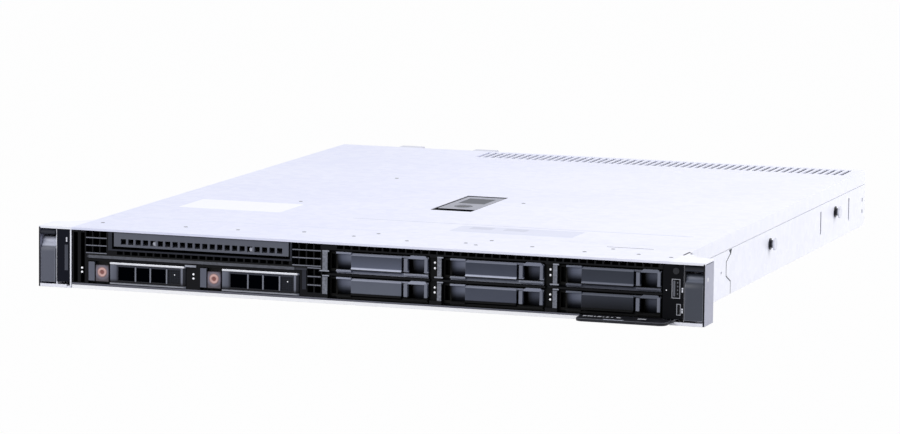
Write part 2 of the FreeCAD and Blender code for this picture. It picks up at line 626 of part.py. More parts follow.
def drive_cage():
    """The welded cage that holds the bays: a section of cells, drawn out to its depth."""
    body = new_body("drive_cage")
    wall = s.cage_sheet
    front, back = at(s.cage_front), at(s.cage_back)
    pad(body, "y", front, back, rect(-CAGE_HALF, CAGE_HALF, s.pan_sheet, CAGE_TOP))
    bay_top = s.carrier_low + s.carrier_height + s.slide_gap
    bay_low = s.carrier_low - s.slide_gap
    bays = [(carrier_place(i) - s.slide_gap, carrier_place(i) + s.carrier_width + s.slide_gap)
            for i in range(2)]
    optical = (s.optical_left - s.optical_frame, s.optical_left + s.optical_width + s.optical_frame)
    optical_low = s.optical_floor - s.slide_gap
    cell_top = CAGE_TOP - wall / 2
    blank_start = blank_place(0) - s.slide_gap
    blank_end = blank_place(2) + s.blank_width + s.slide_gap
    upper_top = s.blank_low + s.row_pitch + s.blank_height + s.slide_gap
    cells = [rect(low, high, bay_low, bay_top) for low, high in bays]
    cells += [
        rect(bays[0][1] + wall, bays[1][0] - wall, bay_low, bay_top),
        rect(*optical, optical_low, cell_top),
        rect(*optical, bay_top + wall, optical_low - wall),
        rect(-CAGE_HALF + wall, bays[0][0] - wall, s.pan_sheet + wall, cell_top),
        rect(bays[0][0], optical[0] - wall, bay_top + wall, cell_top),
        rect(optical[1] + wall, blank_start - wall, bay_top + wall, cell_top),
        rect(bays[1][1] + wall, blank_start - wall, s.pan_sheet + wall, bay_top),
        rect(blank_start, blank_end, upper_top + wall, cell_top),
        rect(bays[0][0], bays[1][1], 0, bay_low - wall),
        rect(blank_start, s.tag_tail_left - s.tag_tail_gap, 0,
             s.tag_low + s.tag_thickness + s.slide_gap),
        rect(s.tag_tail_left - s.slide_gap, s.tag_tail_right + s.slide_gap, 0,
             s.tag_low + s.tag_thickness + s.slide_gap),
    ]
    for column in range(3):
        left = blank_place(column) - s.slide_gap
        right = blank_place(column) + s.blank_width + s.slide_gap
        for level in range(2):
            low = s.blank_low + level * s.row_pitch
            cells.append(rect(left, right, low + s.blank_floor - s.lid_gap,
                              low + s.blank_height + s.slide_gap))
        if column < 2:
            cells.append(rect(right + wall, blank_place(column + 1) - s.slide_gap - wall,
                              s.pan_sheet + wall + s.tag_thickness, upper_top))
    pocket(body, "y", front, back, *cells)
    # Room for the right control panel and for the tag's head when it is pushed in.
    notch_back = at(s.ear_depth) - s.mount_plate
    pocket(body, "y", front, notch_back, rect(blank_end, CAGE_HALF + s.cut_over, 0, s.unit_height))
    pushed_in = FRONT - s.tag_out + s.tag_head + s.tag_push + s.slide_gap
    pocket(body, "y", front, pushed_in, rect(
        s.tag_left - s.slide_gap, CAGE_HALF + s.cut_over, 0,
        s.tag_low + s.tag_thickness + s.slide_gap))


def front_grille():
    """The dark moulded frame around the bays, with its fields of square vents."""
    body = new_body("front_grille")
    front, back = at(s.grille_face), at(s.cage_front)
    pad(body, "y", front, back, rect(s.grille_left, s.grille_right, s.grille_low, s.grille_high))
    # A shelf over the carriers, a frame round the optical bay and a tab stand out of it.
    pad(body, "x", s.shelf_left, s.shelf_right, [
        (front - s.shelf_proud, s.shelf_low), (front, s.shelf_high), (front, s.shelf_low)])
    optical_left = s.optical_left - s.optical_gap
    optical_right = s.optical_left + s.optical_width + s.optical_gap
    optical_low = s.optical_low - s.optical_sill
    pad(body, "y", front - s.trim_proud, front,
        rect(optical_left - s.optical_trim, optical_right + s.optical_gap,
             s.optical_trim_low, s.grille_high))
    pad(body, "y", front - s.trim_proud, front, rect(
        s.bay_tab_left, s.bay_tab_left + s.bay_tab_width, s.bay_tab_low, s.shelf_low))
    gap = s.grille_frame_gap
    carrier_top = s.carrier_low + s.carrier_height
    holes = [rect(carrier_place(i) - gap, carrier_place(i) + s.carrier_width + gap,
                  s.carrier_low - gap, carrier_top + gap) for i in range(2)]
    holes.append(rect(optical_left, optical_right, optical_low, s.grille_high + s.cut_over))
    for column in range(3):
        for level in range(2):
            left = blank_place(column)
            low = s.blank_low + level * s.row_pitch
            right_margin = s.grille_end_gap if column == 2 else gap
            holes.append(rect(left - gap, left + s.blank_width + right_margin,
                              low + s.blank_sub_low - gap, low + s.blank_arch_top + gap))
    holes.append(rect(s.tag_left - s.tag_side_gap, s.grille_right + s.cut_over,
                      0, s.tag_low + s.tag_thickness + s.slide_gap))
    pocket(body, "y", front - s.shelf_proud, back, *holes)
    square, step = s.vent_square, s.vent_row
    field = [rect(s.left_vents_left + i * step, s.left_vents_left + i * step + square,
                  s.left_vents_low + k * step, s.left_vents_low + k * step + square)
             for i in range(3) for k in range(3)]
    field += [rect(s.mid_vents_left + i * step, s.mid_vents_left + i * step + square,
                   s.left_vents_low + k * step, s.left_vents_low + k * step + square)
              for i in range(4) for k in range(3)]
    field += [rect(s.mid_low_vents_left + i * step, s.mid_low_vents_left + i * step + square,
                   s.mid_low_vents_low + k * s.mid_low_row, s.mid_low_vents_low + k * s.mid_low_row + square)
              for i in range(2) for k in range(3)]
    pocket(body, "y", front, back, *field)
    columns = pocket(body, "y", front, back, rect(
        s.grille_left + s.column_inset, s.grille_left + s.column_inset + s.column_width,
        s.grille_low + s.column_inset, s.grille_high - s.column_inset))
    row(body, columns, "x", s.column_pitch, s.column_count)
    for left, low, height, count in (
            (s.under_vents_left, s.under_vents_low, s.under_vents_height, s.under_vents_count),
            (s.top_vents_left, s.top_vents_low, s.top_vents_height, s.top_vents_count)):
        first = pocket(body, "y", front, back, rect(left, left + square, low, low + height))
        row(body, first, "x", s.vent_step, count)
    # Between the blanks the frame is sunk, and leaves two posts and a tie between them.
    sunk = at(s.sunk_face)
    for column in range(1, 3):
        edge = blank_place(column) - gap
        start = blank_place(column - 1) + s.blank_width + gap
        post, tie = edge - s.post_width, edge - s.post_tie_width
        pocket(body, "y", front, sunk, [
            (start, s.post_low), (post, s.post_low), (post, s.post_lower_high),
            (edge, s.post_lower_high), (edge, s.post_tie_low), (tie, s.post_tie_low),
            (tie, s.post_tie_high), (edge, s.post_tie_high), (edge, s.post_upper_low),
            (post, s.post_upper_low), (post, s.post_high), (start, s.post_high)])
    edge = blank_place(0) - gap
    pocket(body, "y", front, sunk, rect(
        edge - s.end_post_width, edge, s.post_lower_high, s.post_upper_low))


def optical_blank():
    """A shallow moulded tray that closes the optical bay, with a row of square vents."""
    body = new_body("optical_blank")
    left, right = s.optical_left, s.optical_left + s.optical_width
    front, back = at(s.grille_face), at(s.optical_reach)
    pad(body, "y", front, back, rect(left, right, s.optical_low, s.optical_high))
    wall = s.optical_face
    pocket(body, "y", front + wall, back,
           rect(left + wall, right - wall, s.optical_low + wall, s.optical_high - wall))
    first = pocket(body, "y", front, front + wall, rect(
        left + s.square_first, left + s.square_first + s.square_width,
        s.optical_low + s.square_low, s.optical_low + s.square_low + s.square_height))
    row(body, first, "x", s.square_pitch, s.square_count)


def scoop(front, low):
    """The outline of a finger hollow: shallow at the top, it falls back to a deep floor."""
    return [(front, low + s.scoop_low), (at(s.scoop_depth), low + s.scoop_low),
            (at(s.scoop_depth), low + s.scoop_knee), (at(s.scoop_brow), low + s.scoop_high),
            (front, low + s.scoop_high)]


def drive_blank(number, column, level):
    """A moulded blank: a box with a deep face that holds a grip block, a latch bar, an arch
    and the hollows between them."""
    body = new_body(f"drive_blank_{number}")
    left = blank_place(column)
    low = s.blank_low + level * s.row_pitch
    back = at(s.blank_reach)
    plate = at(s.blank_back)
    core = plate + s.blank_core
    front = at(s.blank_front)
    web = plate - s.blank_web
    bars = front + s.blank_lip_set
    pad(body, "y", plate, back,
        rect(left, left + s.blank_width, low + s.blank_floor, low + s.blank_height))
    pocket(body, "y", core, back, rect(
        left + s.blank_sheet, left + s.blank_width - s.blank_sheet,
        low + s.blank_floor + s.blank_sheet, low + s.blank_height - s.blank_sheet))
    recess, block, block_end = (left + s.blank_recess_left, left + s.blank_block_left,
                                left + s.blank_block_right)
    bar = left + s.blank_bar_left
    arch_left, arch_right = left + s.blank_arch_left, left + s.blank_arch_right
    hollow = arch_left + s.blank_slot
    # A web carries the front bars on the plate.
    pad(body, "y", web, plate, rect(
        recess, arch_right, low + s.blank_sub_low, low + s.blank_block_top))
    # The grip block: a lip at the foot of its face, a sloped brow and a chin that falls back.
    chin = low + s.blank_block_low
    brow = low + s.blank_block_top
    face = front + s.blank_lip
    pad(body, "x", block, block_end, [
        (front, chin), (front, chin + s.blank_round), (face, chin + s.blank_brow),
        (face, brow - s.blank_brow), (face + s.blank_brow, brow), (plate, brow),
        (plate, low + s.blank_floor), (plate - s.blank_round, low + s.blank_floor)])
    pad(body, "y", front + s.blank_grip / 2, plate, rect(
        block, block_end, low + s.blank_sub_low, low + s.blank_sub_high))
    # A lip over the left hollow, and a foot on each side of the block.
    pad(body, "y", bars, plate, rect(
        recess, block, low + s.blank_lip_low, low + s.blank_lip_high))
    pad(body, "y", bars, plate, rect(
        recess, block, low + s.blank_sub_high, low + s.blank_foot_high))
    pad(body, "y", bars, plate, rect(
        bar, arch_right, low + s.blank_sub_high, low + s.blank_foot_high))
    pad(body, "y", front, plate, rect(
        bar, bar + s.blank_bar_width, low + s.blank_chin, brow - s.blank_brow))
    arch_top = low + s.blank_arch_top - s.lid_gap
    arch_under = brow - s.blank_bar_width / 2
    pad(body, "y", bars, plate, [
        (arch_left, arch_under), (arch_right - s.blank_arch_bar, arch_under),
        (arch_right - s.blank_arch_bar, low + s.blank_chin), (arch_right, low + s.blank_chin),
        (arch_right, arch_top - s.arch_cut), (arch_right - s.arch_cut, arch_top),
        (arch_left + s.arch_cut, arch_top), (arch_left, arch_top - s.arch_cut)])
    # The hollows: a scoop left of the block and one under the arch, slots beside the bar,
    # and a deep corner at the left edge.
    pocket(body, "x", recess, block, scoop(web, low))
    pocket(body, "x", hollow, arch_right - s.blank_arch_bar, scoop(web, low))
    hollow_low, hollow_high = low + s.scoop_low, low + s.scoop_high
    pocket(body, "y", web, at(s.scoop_depth),
           rect(block_end, bar, hollow_low, hollow_high),
           rect(bar + s.blank_bar_width, hollow, hollow_low, hollow_high))
    pocket(body, "y", plate, at(s.scoop_depth), rect(
        left + s.blank_sheet, recess - s.blank_sheet, hollow_low, hollow_high))


# ---------------------------------------------------------------- drive carriers


def drive_carrier(index):
    """Sled, handle, button and drive of one occupied bay."""
    name = index + 1
    left = carrier_place(index)
    low = s.carrier_low
    right = left + s.carrier_width
    high = low + s.carrier_height
    face = at(s.carrier_face)
    plate = (at(s.carrier_plate_front), at(s.carrier_plate_back))
    pivot = (right - s.handle_inset, at(s.handle_face) + s.handle_barrel)
    slot = (low + s.ledge + s.slide_gap, high - s.ledge - s.slide_gap)
    button_x = left + s.button_left + s.button_width / 2
    button_z = low + (s.button_low + s.button_high) / 2

    sled = new_body(f"drive_carrier_{name}")
    pad(sled, "y", *plate, rect(left, right, low, high))
    for base in (low, high - s.ledge):
        pad(sled, "z", base, base + s.ledge, rect(left + s.handle_left, right, face, plate[0]))
    pad(sled, "y", face, plate[0], rect(left, left + s.pipe_width, low + s.pipe_low, low + s.pipe_high))
    pad(sled, "z", low, high, Circle(*pivot, s.handle_pin))
    pocket(sled, "y", *plate, Circle(button_x, button_z, s.stem_radius + s.fit_gap))
    first = pocket(sled, "y", *plate, *[
        rect(left + s.handle_left + s.handle_tab, left + s.handle_left + s.handle_tab + s.mesh_square,
             low + s.window_low + k * s.mesh_pitch, low + s.window_low + k * s.mesh_pitch + s.mesh_square)
        for k in range(int(s.mesh_rows.value))])
    row(sled, first, "x", s.mesh_pitch, s.mesh_count)
    for edge in (left, right - s.carrier_rail):
        pad(sled, "x", edge, edge + s.carrier_rail,
            rect(plate[0], at(s.rail_end), low + s.rail_low, low + s.rail_high))
        round_edges(sled, "x", s.drive_round, lambda p: near(p.y, at(s.rail_end)) and near(
            p.x, edge + s.carrier_rail / 2) and near(p.z, low + s.rail_high))

    handle = new_body(f"carrier_handle_{name}")
    handle_left = left + s.handle_left
    handle_face = at(s.handle_face)
    pad(handle, "z", *slot, Circle(*pivot, s.handle_barrel))
    pad(handle, "z", *slot,
        rect(handle_left, pivot[0], handle_face, handle_face + s.handle_thickness))
    pocket(handle, "z", *slot, Circle(*pivot, s.handle_pin + s.fit_gap))
    edge = handle_left + s.handle_tab
    windows = []
    for width in (s.window_one, s.window_two, s.window_three, s.window_four):
        windows.append(rect(edge, edge + width, low + s.window_low, low + s.window_high))
        edge = edge + width + s.window_rib
    pocket(handle, "y", handle_face, handle_face + s.handle_thickness, *windows)
    round_edges(handle, "z", s.ring_width, lambda p: near(p.x, handle_left) and near(p.y, handle_face))

    button = new_body(f"carrier_button_{name}")
    button_face = at(s.button_face)
    button_back = plate[0] - s.button_travel - s.slide_gap
    pad(button, "y", button_face, button_back, rect(
        left + s.button_left, left + s.button_left + s.button_width,
        low + s.button_low, low + s.button_high))
    pad(button, "y", button_face - s.ring_height, button_face,
        Circle(button_x, button_z, s.ring_radius), Circle(button_x, button_z, s.ring_radius - s.ring_width))
    pad(button, "y", button_back, button_back + s.stem_length, Circle(button_x, button_z, s.stem_radius))

    drive = new_body(f"drive_{name}")
    start = at(s.drive_start)
    margin = (s.carrier_width - s.drive_width) / 2
    pad(drive, "y", start, start + s.drive_length, rect(
        left + margin, right - margin, low + s.drive_low, low + s.drive_low + s.drive_height))
    round_edges(drive, "z", s.drive_round, lambda p: True)


# ---------------------------------------------------------------- ears and their panels


def ear(node, side, partition, edge_wall):
    """A rack ear: side bracket, mounting plate, outer wall, floor and latch partition."""
    body = new_body(node)

    def span(low, high):
        """Limits across the machine, measured outwards on this side."""
        return (low, high) if side > 0 else (-high, -low)

    plate = (at(s.ear_depth) - s.mount_plate, at(s.ear_depth))
    pad(body, "y", *plate, rect(*span(INNER, HALF_EARS), 0, UNDER_TOP))
    pad(body, "x", *span(HALF_EARS - s.ear_wall, HALF_EARS),
        rect(FRONT, plate[1], 0, UNDER_TOP - s.front_hem))
    pad(body, "z", 0, s.pan_sheet, rect(*span(HALF, HALF_EARS), FRONT, plate[1]))
    pad(body, "y", FRONT, FRONT + s.hem_thickness,
        rect(*span(HALF + s.ear_lip_start, HALF_EARS), 0, s.ear_lip_height))
    pad(body, "x", *span(partition - s.partition, partition),
        rect(FRONT + s.hem_thickness + s.seam, plate[1], 0, UNDER_TOP))
    bottom = [(plate[0], 0), (at(s.joint_far), 0)]
    pad(body, "x", *span(INNER, HALF),
        bottom + joint_line(0) + [(at(s.joint_far), s.wall_top), (plate[0], s.wall_top)])
    if edge_wall:
        pad(body, "x", *span(s.wall_edge_inner, s.wall_edge_inner + s.ear_wall),
            rect(at(s.panel_face), plate[1], 0, UNDER_TOP - s.front_hem))
    pocket(body, "x", *span(INNER, HALF),
           Circle(at(s.stud_first_depth), s.stud_height, s.stud_shank),
           Circle(at(s.bracket_hole_depth), s.bracket_hole_height, s.bracket_hole_radius))
    middle = side * s.rack_hole_x
    hook = s.hook_width / 2 + s.slide_gap
    pocket(body, "y", *plate, Circle(middle, s.rack_hole_z, s.rack_screw_shoulder + s.fit_gap),
           rect(middle - hook, middle + hook, s.hook_slot_low, s.hook_slot_high))
    pocket(body, "x", *span(partition - s.partition, HALF_EARS),
           Circle(at(s.pivot_depth), s.pivot_height, s.pivot_radius))


def slam_latch(node, side, partition):
    """A spring latch: front plate that rolls over its pivot, with a hook for the rack."""
    body = new_body(node)
    low = partition + s.latch_side_gap
    high = HALF_EARS - s.ear_wall - s.latch_side_gap
    span = (low, high) if side > 0 else (-high, -low)
    face = at(s.latch_face)
    back = face + s.latch_plate
    pivot = (at(s.pivot_depth), s.pivot_height)
    pad(body, "x", *span, Circle(*pivot, s.latch_barrel))
    rise = pivot[0] - face
    brow = s.pivot_height + s.latch_barrel
    pad(body, "x", *span, [
        (face, s.latch_low), (face, brow - rise), (pivot[0], brow), (pivot[0], s.pivot_height),
        (back, s.pivot_height - s.latch_barrel - s.hook_root), (back, s.latch_low)])
    brow_edge = pivot[0] - face
    round_edges(body, "x", brow_edge * 0.9, lambda p: near(p.y, face) and near(p.z, brow - rise))
    middle = side * s.rack_hole_x
    tip = at(s.hook_reach)
    pad(body, "x", middle - s.hook_width / 2, middle + s.hook_width / 2, [
        (face, s.hook_low), (tip, s.hook_low), (tip, s.hook_high),
        (tip - s.hook_tooth + 1, s.hook_high), (at(s.ear_depth) - s.mount_plate - 2, s.hook_high - 2),
        (back, s.hook_high)])
    pocket(body, "x", *span, Circle(*pivot, s.pivot_radius + s.fit_gap))


def latch_pins():
    """The pivot pins of both slam latches, seated in the ears."""
    pins = []
    for side, partition in ((-1, s.left_partition), (1, s.right_partition)):
        low, high = partition - s.partition, HALF_EARS
        span = (low, high) if side > 0 else (-high, -low)
        pins.append(rod("x", (at(s.pivot_depth), s.pivot_height), s.pivot_radius, *span))
    keep("slam_latch_pins", group(*pins))


def rack_screws():
    """The captive screws that fasten the ears to the rack."""
    screws = []
    for side in (-1, 1):
        spot = (side * s.rack_hole_x, s.rack_hole_z)
        seat = at(s.ear_depth) - s.mount_plate
        shoulder = at(s.ear_depth) + s.rack_screw_proud
        screws.append(fuse(
            rod("y", spot, s.rack_screw_head, seat - s.rack_screw_head_length, seat),
            rod("y", spot, s.rack_screw_shoulder, seat, shoulder),
            rod("y", spot, s.rack_screw_radius, shoulder, shoulder + s.rack_screw_reach)))
    keep("rack_screws", group(*screws))


def left_panel():
    """The left control panel and its status light bar."""
    body = new_body("left_control_panel")
    outer = -s.left_partition + s.partition
    front, back = at(s.panel_face), at(s.panel_face + s.panel_depth)
    pad(body, "y", front, back, rect(outer, -s.left_panel_inner, s.panel_low, UNDER_TOP - s.front_hem))
    bar = rect(-s.light_bar_inner - s.light_bar_width, -s.light_bar_inner, s.light_bar_low, s.light_bar_high)
    pocket(body, "y", front, front + s.light_bar_sink, bar)
    light = new_body("status_light_bar")
    pad(light, "y", front - s.proud, front + s.light_bar_sink, bar)


def right_panel():
    """The right control panel with its ports and power button."""
    body = new_body("right_control_panel")
    front, back = at(s.panel_face), at(s.panel_face + s.panel_depth)
    pad(body, "y", front, back, rect(
        s.right_panel_inner, s.right_partition - s.partition, s.panel_low, UNDER_TOP - s.front_hem))
    usb = rect(s.usb_left, s.usb_left + s.usb_width, s.usb_low, s.usb_high)
    micro = rect(s.micro_left, s.micro_left + s.micro_width, s.micro_low, s.micro_high)
    pocket(body, "y", front, front + s.usb_length, usb)
    pocket(body, "y", front, front + s.micro_length, micro)
    flange = s.power_radius + s.power_flange
    chamber = front + s.hem_thickness
    depth = s.power_length + s.power_travel + s.slide_gap
    pocket(body, "y", front, front + depth, Circle(s.power_x, s.power_z, s.power_radius + s.fit_gap))
    pocket(body, "y", chamber, front + depth, Circle(s.power_x, s.power_z, flange + s.turn_gap))

    button = new_body("power_button")
    pad(button, "y", front - s.proud, front + s.power_length, Circle(s.power_x, s.power_z, s.power_radius))
    pad(button, "y", chamber + s.fit_gap, chamber + s.hem_thickness, Circle(s.power_x, s.power_z, flange))

    shells = []
    for left, width, low, high, length, tongue in (
            (s.usb_left, s.usb_width, s.usb_low, s.usb_high, s.usb_length, s.usb_tongue),
            (s.micro_left, s.micro_width, s.micro_low, s.micro_high, s.micro_length, s.micro_tongue)):
        inside = (left + s.usb_sheet, left + width - s.usb_sheet)
        shell = cut(box((left, left + width), (front, front + length), (low, high)),
                    box(inside, (front - 1, front + length - s.usb_sheet),
                        (low + s.usb_sheet, high - s.usb_sheet)))
        blade = box((inside[0] + s.usb_sheet, inside[0] + s.usb_sheet + tongue),
                    (front + 1, front + length - s.usb_sheet / 2),
                    (low + s.usb_sheet * 3, high - s.usb_sheet * 3))
        shells.append(fuse(shell, blade))
    keep("front_ports", group(*shells))


def information_tag():
    """The pull-out tag: a wide rounded head on a flat tail that slides under the cage."""
    body = new_body("information_tag")
    low, high = s.tag_low, s.tag_low + s.tag_thickness
    tip = FRONT - s.tag_out
    pad(body, "z", low, high, rect(s.tag_left, s.tag_right, tip, tip + s.tag_head))
    round_edges(body, "z", s.tag_head / 3, lambda p: near(p.y, tip))
    pad(body, "z", low, high, rect(s.tag_tail_left, s.tag_tail_right, tip + s.tag_head, tip + s.tag_tail))


# ---------------------------------------------------------------- inside


def drive_backplane():
    """The board behind the bays, with air windows and a connector for each bay."""
    body = new_body("drive_backplane")
    front = at(s.backplane_depth)
    side = CAGE_HALF - 2
    pad(body, "y", front, front + s.board, rect(-side, side, s.pan_sheet, s.backplane_high))
    windows = [rect(x, x + s.carrier_width * 0.7, s.backplane_high - 2 * s.backplane_vent,
                    s.backplane_high - s.backplane_vent)
               for x in [carrier_place(i) + 8 for i in range(2)] + [blank_place(c) + 8 for c in range(3)]]
    pocket(body, "y", front, front + s.board, *windows)
    plugs = [(carrier_place(i), s.carrier_low) for i in range(2)]
    plugs += [(blank_place(c), s.blank_low + k * s.row_pitch) for c in range(3) for k in range(2)]
    start = at(s.drive_start + s.drive_length) + s.slide_gap
    offset = (s.carrier_width - s.connector_width) / 2
    pad(body, "y", start, front, *[
        rect(x + offset, x + offset + s.connector_width, z + 2, z + 2 + s.connector_height)
        for x, z in plugs])


def fan_places():
    """The centre of each fan across the machine."""
    count = int(s.fan_count.value)
    return [(i - (count - 1) / 2) * s.fan_pitch for i in range(count)]


def fan_frames():
    """The fan bank: bores with three-armed spiders and shafts for the rotors."""
    body = new_body("fan_frames")
    front, back = at(s.fan_depth), at(s.fan_depth + s.fan_length)
    half = s.fan_pitch * s.fan_count / 2
    pad(body, "y", front, back, rect(-half, half, s.pan_sheet, s.fan_high))
    places = fan_places()
    pocket(body, "y", front, back, *[Circle(x, s.fan_centre, s.fan_bore) for x in places])
    bar = s.fan_strut / 2
    reach = s.fan_bore + 0.5
    for x in places:
        pad(body, "y", back - s.spider, back,
            rect(x - bar, x + bar, s.fan_centre - reach, s.fan_centre + reach))
        pad(body, "y", back - s.spider, back,
            rect(x - reach, x + reach, s.fan_centre - bar, s.fan_centre + bar))
    hubs = [Circle(x, s.fan_centre, s.fan_hub - 1) for x in places]
    pad(body, "y", back - s.spider, back, *hubs)
    shafts = [Circle(x, s.fan_centre, s.fan_shaft) for x in places]
    pad(body, "y", back - s.spider - s.rotor_length - s.turn_gap, back - s.spider, *shafts)


def fan_rotor(node, tip, hub, length, x, y):
    """A rotor about Y: hub with a bored shaft hole and lofted, twisted blades."""
    body = new_body(node)
    chord = length * 0.8
    start = (length - chord) / 2
    pad(body, "y", 0, length, Circle(0, 0, hub))
    blade = body.newObject("PartDesign::AdditiveLoft", "Blade")
    sections = []
    for level, lean in ((hub - 1, s.blade_root), (tip - s.blade_tip / 4, s.blade_tip)):
        half = s.blade_thickness / 2
        sections.append(sketch(body, "x", level, [[
            (start, -lean - half), (start + chord, lean - half),
            (start + chord, lean + half), (start, -lean + half)]]))
    blade.Profile = sections[0]
    blade.Sections = [(sections[1], [""])]
    body.Tip = blade
    ring = body.newObject("PartDesign::PolarPattern", "Blades")
    ring.Originals = [blade]
    ring.Axis = (origin_of(body, "Y_Axis"), [""])
    ring.Angle = 360
    bind(ring, "Occurrences", s.blade_count)
    body.Tip = ring
    pocket(body, "y", 0, length, Circle(0, 0, s.fan_shaft + s.fit_gap))
    place(body, x, y, s.fan_centre)


def motherboard():
    """The main board, stepped around the supplies, with its memory sockets."""
    body = new_body("motherboard")
    low = s.pan_sheet + s.standoff_height
    bay_wall = supply_bay_edge() + s.psu_wall
    front, step, back = at(s.board_front), at(s.board_step), at(s.board_back)
    inner = bay_wall + 2
    pad(body, "z", low, low + s.board, [
        (-s.board_side, front), (s.board_side, front), (s.board_side, back), (inner, back),
        (inner, step), (-s.board_side, step)])
    start = at(s.module_depth)
    top = low + s.board
    for bank in range(int(s.module_banks.value)):
        left = s.module_first_x + bank * s.module_bank_pitch - s.socket_width / 2
        socket = pad(body, "z", top, top + s.socket_height, rect(
            left, left + s.socket_width, start - 3, start + s.module_length + 3))
        row(body, socket, "x", s.module_pitch, s.module_count)


def memory_modules():
    """The memory modules, standing in their sockets."""
    top = s.pan_sheet + s.standoff_height + s.board + s.socket_height
    start = at(s.module_depth)
    modules = []
    for bank in range(int(s.module_banks.value)):
        for i in range(int(s.module_count.value)):
            x = s.module_first_x + bank * s.module_bank_pitch + i * s.module_pitch
            modules.append(box((x - s.module_thickness / 2, x + s.module_thickness / 2),
                               (start, start + s.module_length), (top, top + s.module_height)))
    keep("memory_modules", group(*modules))


def heat_sinks():
    """Two processors' heat sinks: a base on the package and a row of tall fins."""
    body = new_body("heat_sinks")
    low = s.pan_sheet + s.standoff_height + s.board
    front, back = at(s.sink_depth), at(s.sink_depth + s.sink_length)
    lefts = [s.sink_first_x + i * s.sink_pitch for i in range(2)]
    base = low + s.chip_height
    pad(body, "z", low, base, *[rect(x + 12, x + s.sink_width - 12, front + 20, back - 20) for x in lefts])
    pad(body, "z", base, base + s.sink_base, *[rect(x, x + s.sink_width, front, back) for x in lefts])
    fin = pad(body, "z", base + s.sink_base, base + s.sink_height,
              *[rect(x, x + s.sink_fin, front, back) for x in lefts])
    row(body, fin, "x", (s.sink_width - s.sink_fin) / (s.sink_fin_count - 1), s.sink_fin_count)


def air_shroud():
    """The duct that leads the fans' air through the heat sinks."""
    low = s.pan_sheet + s.standoff_height + s.board
    skin = s.shroud_sheet
    limits = (at(s.shroud_front), at(s.shroud_back))
    top = box((s.shroud_left, s.shroud_right), limits, (s.shroud_top - skin, s.shroud_top))
    walls = [box((x, x + skin), (at(s.board_front), limits[1]), (low, s.shroud_top))
             for x in (s.shroud_left, s.shroud_right - skin)]
    # The cover's latch tray hangs in a notch, which is open to the front.
    clear = s.seam + s.lid_gap
    tray_end = at(s.tray_depth + s.tray_length + s.cover_travel)
    notch = box((s.tray_left - clear, s.tray_left + s.tray_width + clear),
                (limits[0], tray_end + clear), (s.shroud_top - skin, s.shroud_top))
    keep("air_shroud", fuse(cut(top, notch), *walls))


# ---------------------------------------------------------------- rear


def slot_covers():
    """Perforated covers in the expansion slot openings."""
    covers = []
    for x, width in slot_places():
        low, high = s.opening_low, s.opening_low + s.opening_height
        behind = REAR - s.pan_sheet
        margin = s.cover_margin
        plate = box((x - margin, x + width + margin), (behind - s.cover_sheet, behind),
                    (low - margin, high + margin))
        holes = [rod("y", (x + 7 + i * s.cover_hole_pitch, (low + high) / 2), s.cover_hole,
                     behind - s.cover_sheet, behind) for i in range(int(s.cover_hole_count.value))]
        covers.append(cut(plate, *holes))
    keep("slot_covers", group(*covers))


def rear_ports():
    """The rear sockets: shells that open through the rear wall, with tongues in the USB ports."""
    board_top = s.pan_sheet + s.standoff_height + s.board
    skin = s.port_sheet
    face = REAR - s.pan_sheet
    front = face - s.port_length
    low = s.port_low
    shells = []
    for places, depth in ((network_places(), s.port_length - skin), (usb_places(), s.port_length - skin),
                          (video_places(), s.video_recess)):
        for x, width, height in places:
            outer = box((x - skin, x + width + skin), (front, face), (board_top, low + height + skin))
            shells.append(cut(outer, box((x, x + width), (face - depth, REAR), (low, low + height))))
    for number, (x, width, height) in enumerate(usb_places(), int(s.port_count.value)):
        middle = low + height / 2
        tongue = box((x + skin, x + width - skin), (front + skin / 2, face - skin),
                     (middle - s.usb_tongue / 2, middle + s.usb_tongue / 2))
        shells[number] = fuse(shells[number], tongue)
    keep("rear_ports", group(*shells))


def rear_id_button():
    """The identification button, guided by its hole in the rear wall."""
    body = new_body("rear_id_button")
    inside = REAR - s.pan_sheet
    spot = (s.id_x, s.id_z)
    pad(body, "y", inside - s.id_length + s.pan_sheet, REAR + s.id_travel + s.proud,
        Circle(*spot, s.id_radius))
    pad(body, "y", inside - s.hem_thickness, inside - s.fit_gap, Circle(*spot, s.id_radius + s.id_flange))


